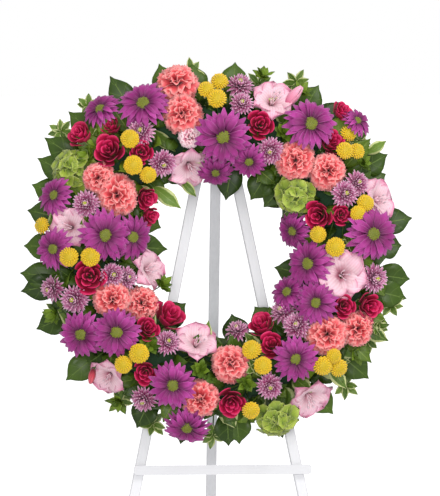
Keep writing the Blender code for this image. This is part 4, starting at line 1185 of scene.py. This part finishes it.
# Small sprigs that show between the blooms: across, up, and whether their leaves are edged with cream.
SHOWN_SPRIGS: tuple[tuple[float, float, bool], ...] = (
    (-0.185, 0.165, False), (-0.199, 0.147, False), (0.069, 0.270, False), (0.128, 0.245, False),
    (0.222, 0.135, False), (0.243, -0.116, True), (0.210, -0.155, False), (-0.252, -0.095, False),
    (-0.154, -0.228, False), (-0.091, -0.053, False), (0.100, 0.184, False),
    (-0.031, -0.184, False), (0.041, -0.203, False), (-0.108, -0.146, False), (-0.187, 0.180, False),
    (-0.200, 0.052, False),
    (0.204, 0.010, True), (0.055, -0.180, True), (-0.100, 0.205, False),
)

# Single leaves that show at the edges: (across, up) of the root and of the tip, their width in mm, and
# whether they are edged with cream.
SHOWN_LEAVES: tuple[tuple[tuple[float, float], tuple[float, float], float, bool], ...] = (
    ((-0.102, 0.102), (-0.058, 0.068), 24.0, True), ((-0.058, 0.112), (-0.034, 0.086), 15.0, True),
    ((-0.104, 0.190), (-0.066, 0.156), 20.0, True), ((0.222, -0.118), (0.264, -0.140), 24.0, True),
    ((0.222, -0.096), (0.262, -0.112), 26.0, False), ((-0.024, -0.150), (-0.016, -0.106), 18.0, True),
    ((-0.172, 0.196), (-0.196, 0.182), 14.0, True), ((-0.140, 0.206), (-0.166, 0.196), 14.0, False),
    ((-0.190, 0.160), (-0.206, 0.136), 15.0, False), ((0.232, 0.152), (0.262, 0.172), 18.0, True),
    ((-0.136, 0.186), (-0.170, 0.234), 34.0, False), ((-0.176, 0.146), (-0.222, 0.184), 34.0, False),
    ((0.164, 0.164), (0.210, 0.210), 40.0, False), ((0.196, 0.130), (0.238, 0.176), 30.0, False),
    ((0.060, 0.130), (0.090, 0.104), 26.0, False), ((0.120, 0.010), (0.130, 0.054), 26.0, False),
    ((-0.066, -0.222), (-0.088, -0.264), 30.0, False), ((-0.152, -0.010), (-0.120, -0.008), 24.0, False),
    ((0.156, 0.006), (0.118, 0.020), 26.0, False), ((-0.160, 0.180), (-0.190, 0.214), 30.0, False),
    ((0.200, -0.010), (0.248, -0.026), 26.0, False), ((0.200, -0.138), (0.237, -0.174), 24.0, False),
    ((0.170, -0.178), (0.198, -0.214), 22.0, True),
)


@dataclass(frozen=True)
class Foliage:
    """The branches that frame the ring, and the leaves tucked between the blooms and over the foam."""

    salal_radius: float = 0.2455
    salal_ahead: float = 0.0216
    pittosporum_radius: float = 0.2405
    pittosporum_ahead: float = 0.0180
    inner_radius: float = 0.1500
    salal_tip: float = 18.0 * MM
    pittosporum_tip: float = 10.0 * MM
    twig: float = 1.4 * MM
    peg: float = 24.0 * MM
    steps: int = 14
    tucked_parts: int = 8
    tucked_leaves: int = 26
    tucked_tilt: float = 74.0
    rim_root: float = 34.0 * MM
    sprig_leaves: int = 9
    sprig_heart: float = 60.0 * MM
    sprig_width: float = 40.0 * MM
    leaf: Leaf = Leaf()
    whorl_leaf: Leaf = Leaf(width=12.0 * MM, fold=0.10, arch=0.06, wave=1.2 * MM, cells=(4, 4))

    def arc(self, span: tuple[float, float], radius: float, ahead: float) -> list[Vector]:
        """The points of a branch's arc of twig round the ring."""
        clocks = [math.radians(span[0] + (span[1] - span[0]) * step / self.steps)
                  for step in range(self.steps + 1)]
        return [RING.point(radius * math.cos(clock), radius * math.sin(clock), ahead) for clock in clocks]

    def root(self, across: float, up: float, span: tuple[float, float], radius: float,
             ahead: float) -> Vector:
        """Where a leaf with a given tip leaves its branch's arc."""
        middle = (span[0] + span[1]) / 2.0
        clock = middle + (math.degrees(math.atan2(up, across)) - middle + 180.0) % 360.0 - 180.0
        clock = math.radians(min(max(clock, span[0] + 1.0), span[1] - 1.0))
        return RING.point(radius * math.cos(clock), radius * math.sin(clock), ahead)

    def branch(self, name: str, span: tuple[float, float], radius: float, ahead: float,
               dice: random.Random, finish: bpy.types.Material) -> Growth:
        """Start a branch: its arc of twig and its pegs in the foam."""
        growth = Growth(f"{name}_in_leaf", dice)
        growth.rod(self.arc(span, radius, ahead), (self.twig, self.twig), finish)
        side = 1.0 if radius > RING.radius else -1.0
        for share in (0.15, 0.85) if side > 0.0 else (0.5,):
            clock = math.radians(span[0] + (span[1] - span[0]) * share)
            ends = [RING.point(reach * math.cos(clock), reach * math.sin(clock), ahead)
                    for reach in (RING.radius + side * self.peg, radius)]
            growth.rod(ends, (self.twig, self.twig), finish)
        return growth

    def salal(self, finishes: Finishes) -> None:
        """The broad dark leaves outside and inside the ring."""
        rows = ((OUTER_LEAVES, self.salal_radius), (INNER_LEAVES, self.inner_radius))
        for branches, radius in rows:
            for number, (name, (span, tips)) in enumerate(branches.items()):
                dice = Seed.SALAL.dice(number)
                growth = self.branch(name, span, radius, self.salal_ahead, dice, finishes.stem)
                for across, up in tips:
                    root = self.root(across, up, span, radius, self.salal_ahead)
                    tip = RING.point(across, up, self.salal_tip)
                    self.leaf.add(growth, root, tip, RING.way(0.0, 0.0, 1.0), finishes.salal)
                growth.finish("salal_leaf", nodes=(name,), thickness=0.5 * MM)

    def whorl(self, growth: Growth, root: Vector, tip: Vector, finish: bpy.types.Material,
              stem: bpy.types.Material, leaves: int = 7, reach: float = 0.024) -> None:
        """A short shoot that ends in a rosette of small leaves."""
        outward = (tip - root).normalized()
        middle = tip - outward * reach
        growth.rod([root, root.lerp(middle, 0.5), middle], (self.twig, 0.6 * self.twig), stem)
        ahead = RING.way(0.0, 0.0, 1.0)
        side = ahead.cross(outward).normalized()
        for index in range(leaves):
            turn = math.tau * index / leaves + growth.dice.uniform(-0.25, 0.25)
            lift = growth.dice.uniform(0.05, 0.5)
            way = outward * math.cos(turn) + side * math.sin(turn) + ahead * lift
            end = middle + way.normalized() * (reach * growth.dice.uniform(0.8, 1.08))
            self.whorl_leaf.add(growth, middle, end, ahead, finish)

    def pittosporum(self, finishes: Finishes) -> None:
        """The small-leaved branches behind the salal."""
        for number, (name, (span, tips)) in enumerate(SPRIGS.items()):
            dice = Seed.PITTOSPORUM.dice(number)
            growth = self.branch(name, span, self.pittosporum_radius, self.pittosporum_ahead, dice,
                                 finishes.stem)
            for across, up in tips:
                root = self.root(across, up, span, self.pittosporum_radius, self.pittosporum_ahead)
                tip = RING.point(across, up, self.pittosporum_tip)
                self.whorl(growth, root, tip, finishes.pittosporum, finishes.stem)
            growth.finish("pittosporum_leaf", nodes=(name,), thickness=0.4 * MM)

    def tucked(self, finishes: Finishes) -> None:
        """Leaves tucked between the blooms, close over the foam, so that none of it shows."""
        for part in range(self.tucked_parts):
            growth = Growth(f"tucked_leaves_{part + 1}", Seed.TUCKED.dice(part))
            dice = growth.dice
            for index in range(self.tucked_leaves):
                share = (index + dice.uniform(0.1, 0.9)) / self.tucked_leaves
                clock = math.tau * (part + share) / self.tucked_parts
                tilt = math.radians(self.tucked_tilt * (2.0 * ((index * GOLDEN_SHARE) % 1.0) - 1.0))
                root = RING.shell(clock, tilt, dice.uniform(0.034, 0.042))
                slant = dice.uniform(-0.9, 0.9)
                tip = RING.shell(clock + 0.16 * slant, tilt + dice.uniform(-0.35, 0.35),
                                 dice.uniform(0.052, 0.068))
                facing = (root - RING.shell(clock, tilt, 0.0)).normalized()
                finish = dice.choice((finishes.salal, finishes.salal, finishes.young))
                width = dice.uniform(16.0, 26.0) * MM
                replace(self.leaf, width=width, cells=(2, 5)).add(growth, root, tip, facing, finish)
            growth.finish("salal_leaf", thickness=0.4 * MM)

    def rims(self, finishes: Finishes) -> None:
        """Leaves that close the gaps between the blooms at the wreath's outer and inner rims."""
        for number, row in enumerate(RIM_ROWS):
            growth = Growth(f"{row.name}_rim_leaves", Seed.RIMS.dice(number))
            dice = growth.dice
            for index in range(row.count):
                clock = math.tau * (index + dice.uniform(0.0, 1.0)) / row.count
                tilt = math.radians(dice.uniform(*row.tilt))
                root = RING.shell(clock, tilt, self.rim_root)
                tip = RING.shell(clock + dice.uniform(-0.14, 0.14), tilt, dice.uniform(*row.reach) * MM)
                facing = (RING.way(0.0, 0.0, 1.0) * 0.9 + (root - RING.shell(clock, tilt, 0.0)) * 6.0)
                finish = dice.choice((finishes.salal, finishes.salal, finishes.young, finishes.pittosporum))
                leaf = replace(self.leaf, width=dice.uniform(*row.width) * MM, cells=(4, 6))
                leaf.add(growth, root, tip, facing.normalized(), finish)
            growth.finish("salal_leaf", thickness=0.4 * MM)

    def shown(self, finishes: Finishes) -> None:
        """Single leaves that stand out at the wreath's edges in the photograph."""
        growth = Growth("shown_leaves", Seed.SHOWN.dice())
        for (across, up), (tip_across, tip_up), width, pale in SHOWN_LEAVES:
            root = RING.point(across, up, 52.0 * MM)
            tip = RING.point(tip_across, tip_up, 56.0 * MM)
            foot = RING.plant(across, up, self.sprig_width, self.sprig_heart)
            growth.rod([RING.shell(foot.clock, foot.tilt, 30.0 * MM), root], (self.twig, self.twig),
                       finishes.stem)
            finish = finishes.pittosporum if pale else finishes.young
            leaf = replace(self.leaf, width=width * MM, cells=(4, 8))
            leaf.add(growth, root, tip, RING.way(0.0, 0.0, 1.0), finish)
        growth.finish("pittosporum_leaf", thickness=0.4 * MM)

    def sprigs(self, finishes: Finishes) -> None:
        """Small rosettes of leaves that show between the blooms."""
        growth = Growth("tucked_sprigs", Seed.SPRIGS.dice())
        for across, up, pale in SHOWN_SPRIGS:
            spot = RING.plant(across, up, self.sprig_width, self.sprig_heart)
            root = RING.shell(spot.clock, spot.tilt, 30.0 * MM)
            side = spot.axis.cross(RING.way(0.0, 1.0, 0.0)).normalized()
            crown = spot.heart
            growth.rod([root, crown], (self.twig, 0.6 * self.twig), finishes.stem)
            finish = finishes.pittosporum if pale else finishes.young
            up_way = side.cross(spot.axis)
            for index in range(self.sprig_leaves):
                turn = index * GOLDEN
                spread = 0.35 + 0.10 * index
                way = (side * math.cos(turn) + up_way * math.sin(turn)) * spread + spot.axis * 0.7
                end = crown + way.normalized() * growth.dice.uniform(0.018, 0.026)
                self.whorl_leaf.add(growth, crown, end, spot.axis, finish)
        growth.finish("pittosporum_leaf", thickness=0.4 * MM)


@dataclass(frozen=True)
class Easel:
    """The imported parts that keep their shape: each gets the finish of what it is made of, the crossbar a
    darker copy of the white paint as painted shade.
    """

    def dress(self) -> None:
        """Give each carried-over node its material."""
        upright = PlainFinish("white_paint", tint(216, 216, 219), tint(204, 204, 207), 0.45,
                              Vector((260.0, 260.0, 9.0)), height=0.12 * MM).make()
        # painted shade: the crossbar's paint is a darker copy of the same white paint
        level = PlainFinish("white_paint_level", tint(206, 206, 209), tint(197, 197, 200), 0.45,
                            Vector((9.0, 260.0, 260.0)), height=0.12 * MM).make()
        steel = PlainFinish("zinc_plated_steel", tint(190, 192, 195), tint(140, 142, 146), 0.35,
                            metallic=1.0, height=0.02 * MM).make()
        plastic = PlainFinish("green_tray_plastic", tint(48, 92, 52), tint(36, 74, 42), 0.5).make()
        foam = PlainFinish("wet_floral_foam", tint(46, 82, 50), tint(24, 48, 28), 0.95,
                           grain=Vector((500.0, 500.0, 500.0)), height=0.8 * MM).make()
        finishes = {
            "front_leg_left": upright, "front_leg_right": upright, "rear_leg": upright,
            "head_plate": upright, "crossbar": level, "hanging_nail": steel, "pivot_rivet": steel,
            "hanging_loop": steel, "ring_tray": plastic, "foam_ring": foam,
        }
        for name, material in finishes.items():
            mesh = bpy.data.objects[name].data
            mesh.materials.clear()
            mesh.materials.append(material)
            LOG.info("%s: dressed", name)


def mix_finishes() -> Finishes:
    """Make every petal's and leaf's material."""
    return Finishes(
        # the daisy's pale edge colour at its petals' margins and tips is painted highlight
        daisy=PetalFinish("daisy_magenta", tint(100, 8, 74), tint(168, 34, 134), tint(196, 70, 166),
                          tint(226, 140, 208), edge_share=0.40, edge_from=0.82, veins=0.50,
                          vein_count=6.0, spread=0.50, sheen=0.12).make(),
        daisy_eye=PetalFinish("daisy_eye", tint(70, 92, 14), tint(136, 138, 34), tint(164, 160, 44),
                              tint(164, 160, 44), spread=0.7).make(),
        rose=PetalFinish("rose_crimson", tint(118, 0, 30), tint(180, 6, 58), tint(206, 22, 88),
                         tint(226, 60, 124), edge_share=0.35, edge_from=0.88, veins=0.10,
                         vein_count=8.0, spread=0.35, sheen=0.04).make(),
        carnation=PetalFinish("carnation_coral", tint(200, 26, 50), tint(232, 82, 92),
                              tint(243, 122, 124), tint(250, 184, 178), edge_share=0.70, edge_from=0.80,
                              veins=0.10, vein_count=8.0, spread=0.28, sheen=0.15).make(),
        carnation_mini=PetalFinish("carnation_pink", tint(200, 24, 70), tint(238, 150, 180),
                                   tint(250, 224, 230), tint(255, 244, 246), edge_share=0.6,
                                   edge_from=0.80, veins=0.10, vein_count=8.0, spread=0.20).make(),
        gladiolus=PetalFinish("gladiolus_blush", tint(176, 70, 104), tint(240, 208, 216),
                              tint(236, 186, 206), tint(214, 104, 152), edge_share=0.65, edge_from=0.78,
                              veins=0.24, vein_count=10.0, spread=0.16).make(),
        anther=PetalFinish("gladiolus_anther", tint(150, 110, 130), tint(214, 190, 200),
                           tint(226, 206, 212), tint(226, 206, 212)).make(),
        button=PetalFinish("button_yellow", tint(146, 138, 8), tint(222, 184, 6), tint(236, 202, 16),
                           tint(244, 216, 44), edge_share=0.3, edge_from=0.9, spread=0.60).make(),
        cushion=PetalFinish("cushion_lilac", tint(120, 16, 72), tint(176, 58, 120), tint(232, 154, 198),
                            tint(250, 212, 232), edge_share=0.8, edge_from=0.76, veins=0.10,
                            vein_count=4.0, spread=0.25, sheen=0.12).make(),
        cushion_eye=PetalFinish("cushion_eye", tint(96, 110, 24), tint(166, 168, 44), tint(180, 176, 54),
                                tint(180, 176, 54)).make(),
        hydrangea=PetalFinish("hydrangea_lime", tint(98, 126, 26), tint(160, 180, 56),
                              tint(186, 198, 88), tint(212, 218, 136), edge_share=0.45, edge_from=0.78,
                              veins=0.25, vein_count=7.0, spread=0.40).make(),
        stem=LeafFinish("stem_green", tint(62, 88, 34), tint(104, 132, 54), tint(104, 132, 54),
                        tint(104, 132, 54), roughness=0.5, coat=0.05).make(),
        salal=LeafFinish("salal_green", tint(34, 56, 8), tint(68, 94, 20), tint(100, 124, 50),
                         tint(70, 100, 50), roughness=0.46, coat=0.05).make(),
        pittosporum=LeafFinish("pittosporum_variegated", tint(56, 84, 20), tint(96, 124, 40),
                               tint(132, 152, 76), tint(204, 208, 146), edge_share=0.75,
                               roughness=0.45, coat=0.08).make(),
        young=LeafFinish("young_green", tint(58, 82, 12), tint(110, 136, 32), tint(140, 160, 70),
                         tint(120, 150, 70), roughness=0.48, coat=0.05).make(),
        rose_bud=PetalFinish("rose_bud", tint(136, 14, 40), tint(196, 58, 76), tint(208, 86, 100),
                             tint(222, 126, 138), edge_share=0.3, edge_from=0.85).make(),
        gladiolus_bud=PetalFinish("gladiolus_bud", tint(206, 92, 132), tint(232, 150, 176),
                                  tint(236, 170, 192), tint(244, 200, 214), edge_share=0.3,
                                  edge_from=0.80, veins=0.2).make(),
    )


@dataclass(frozen=True)
class Lamp:
    """A soft square light that looks at the wreath: where it stands, how wide it is and its watts."""

    name: str
    azimuth: float
    elevation: float
    distance: float
    size: float
    power: float


@dataclass(frozen=True)
class Studio:
    """A white studio: a pale floor, soft lights and the camera where the photograph was taken from."""

    azimuth: float = -2.3
    elevation: float = 7.0
    distance: float = 7.0
    lens: float = 327.8
    sensor: float = 36.0
    aim_across: float = 1.5 * MM
    aim_up: float = 5.8 * MM
    aim_ahead: float = 70.0 * MM
    floor_size: float = 30.0
    floor_glow: float = 0.70
    ambient: float = 0.68
    white: Colour = (1.0, 1.0, 1.0)
    lamps: tuple[Lamp, ...] = (
        Lamp("key", 32.0, 40.0, 2.6, 1.0, 30.0), Lamp("front", -3.0, 8.0, 8.5, 2.5, 310.0),
    )

    def back(self, azimuth: float, elevation: float) -> Vector:
        """The way from what is looked at to the one who looks."""
        turn, rise = math.radians(azimuth), math.radians(elevation)
        return Vector((math.sin(turn) * math.cos(rise), -math.cos(turn) * math.cos(rise), math.sin(rise)))

    def look(self, obj: bpy.types.Object, target: Vector, back: Vector, distance: float) -> None:
        """Stand an object back from its target and turn it to look there."""
        obj.location = target + back * distance
        obj.rotation_euler = back.to_track_quat("Z", "Y").to_euler()

    def camera(self) -> None:
        """Place the camera."""
        data = bpy.data.cameras.new("camera")
        data.sensor_width = self.sensor
        data.lens = self.lens
        camera = link("camera", data)
        target = RING.point(self.aim_across, self.aim_up, self.aim_ahead)
        self.look(camera, target, self.back(self.azimuth, self.elevation), self.distance)
        bpy.context.scene.camera = camera

    def light(self, lamp: Lamp) -> None:
        """Place a soft light."""
        data = bpy.data.lights.new(lamp.name, "AREA")
        data.size = lamp.size
        data.energy = lamp.power
        obj = link(lamp.name, data)
        obj.visible_camera = False
        self.look(obj, RING.centre, self.back(lamp.azimuth, lamp.elevation), lamp.distance)

    def sky(self) -> None:
        """Set up a world that looks white and casts a softer light than that."""
        world = bpy.data.worlds.new("studio")
        world.use_nodes = True
        nodes, links = world.node_tree.nodes, world.node_tree.links
        shown, cast = nodes["Background"], nodes.new("ShaderNodeBackground")
        for background, strength in ((shown, 1.0), (cast, self.ambient)):
            background.inputs["Color"].default_value = (*self.white, 1.0)
            background.inputs["Strength"].default_value = strength
        seen = nodes.new("ShaderNodeLightPath")
        blend = nodes.new("ShaderNodeMixShader")
        links.new(seen.outputs["Is Camera Ray"], blend.inputs[0])
        links.new(cast.outputs[0], blend.inputs[1])
        links.new(shown.outputs[0], blend.inputs[2])
        links.new(blend.outputs[0], nodes["World Output"].inputs["Surface"])
        bpy.context.scene.world = world

    def floor(self) -> None:
        """Lay a pale floor that looks white and casts no light of its own."""
        bm = bmesh.new()
        bmesh.ops.create_grid(bm, x_segments=1, y_segments=1, size=self.floor_size / 2.0)
        floor = mesh_object("studio_floor", bm)
        graph = Graph("studio_white")
        seen = graph.node("ShaderNodeLightPath", {}, {}).outputs["Is Camera Ray"]
        shown = graph.mix(seen, (0.0, 0.0, 0.0), self.white)
        graph.dress(tint(228, 228, 230), 0.9, Emission_Color=shown, Emission_Strength=self.floor_glow)
        floor.data.materials.append(graph.material)

    def build(self) -> None:
        """Set up the world, the floor, the lights and the camera."""
        self.sky()
        bpy.context.scene.view_settings.view_transform = "Standard"
        self.floor()
        for lamp in self.lamps:
            self.light(lamp)
        self.camera()


def main() -> None:
    """Dress the easel, plant the wreath and light it."""
    logging.basicConfig(level=logging.INFO, format="%(message)s")
    finishes = mix_finishes()
    Easel().dress()
    Flowers().build(finishes)
    for bud in BUDS:
        bud.build(finishes.rose_bud if bud.slot == "rose_petal" else finishes.gladiolus_bud, finishes.stem)
    foliage = Foliage()
    foliage.salal(finishes)
    foliage.pittosporum(finishes)
    foliage.tucked(finishes)
    foliage.rims(finishes)
    foliage.shown(finishes)
    foliage.sprigs(finishes)
    Studio().build()


if __name__ == "__main__":
    main()
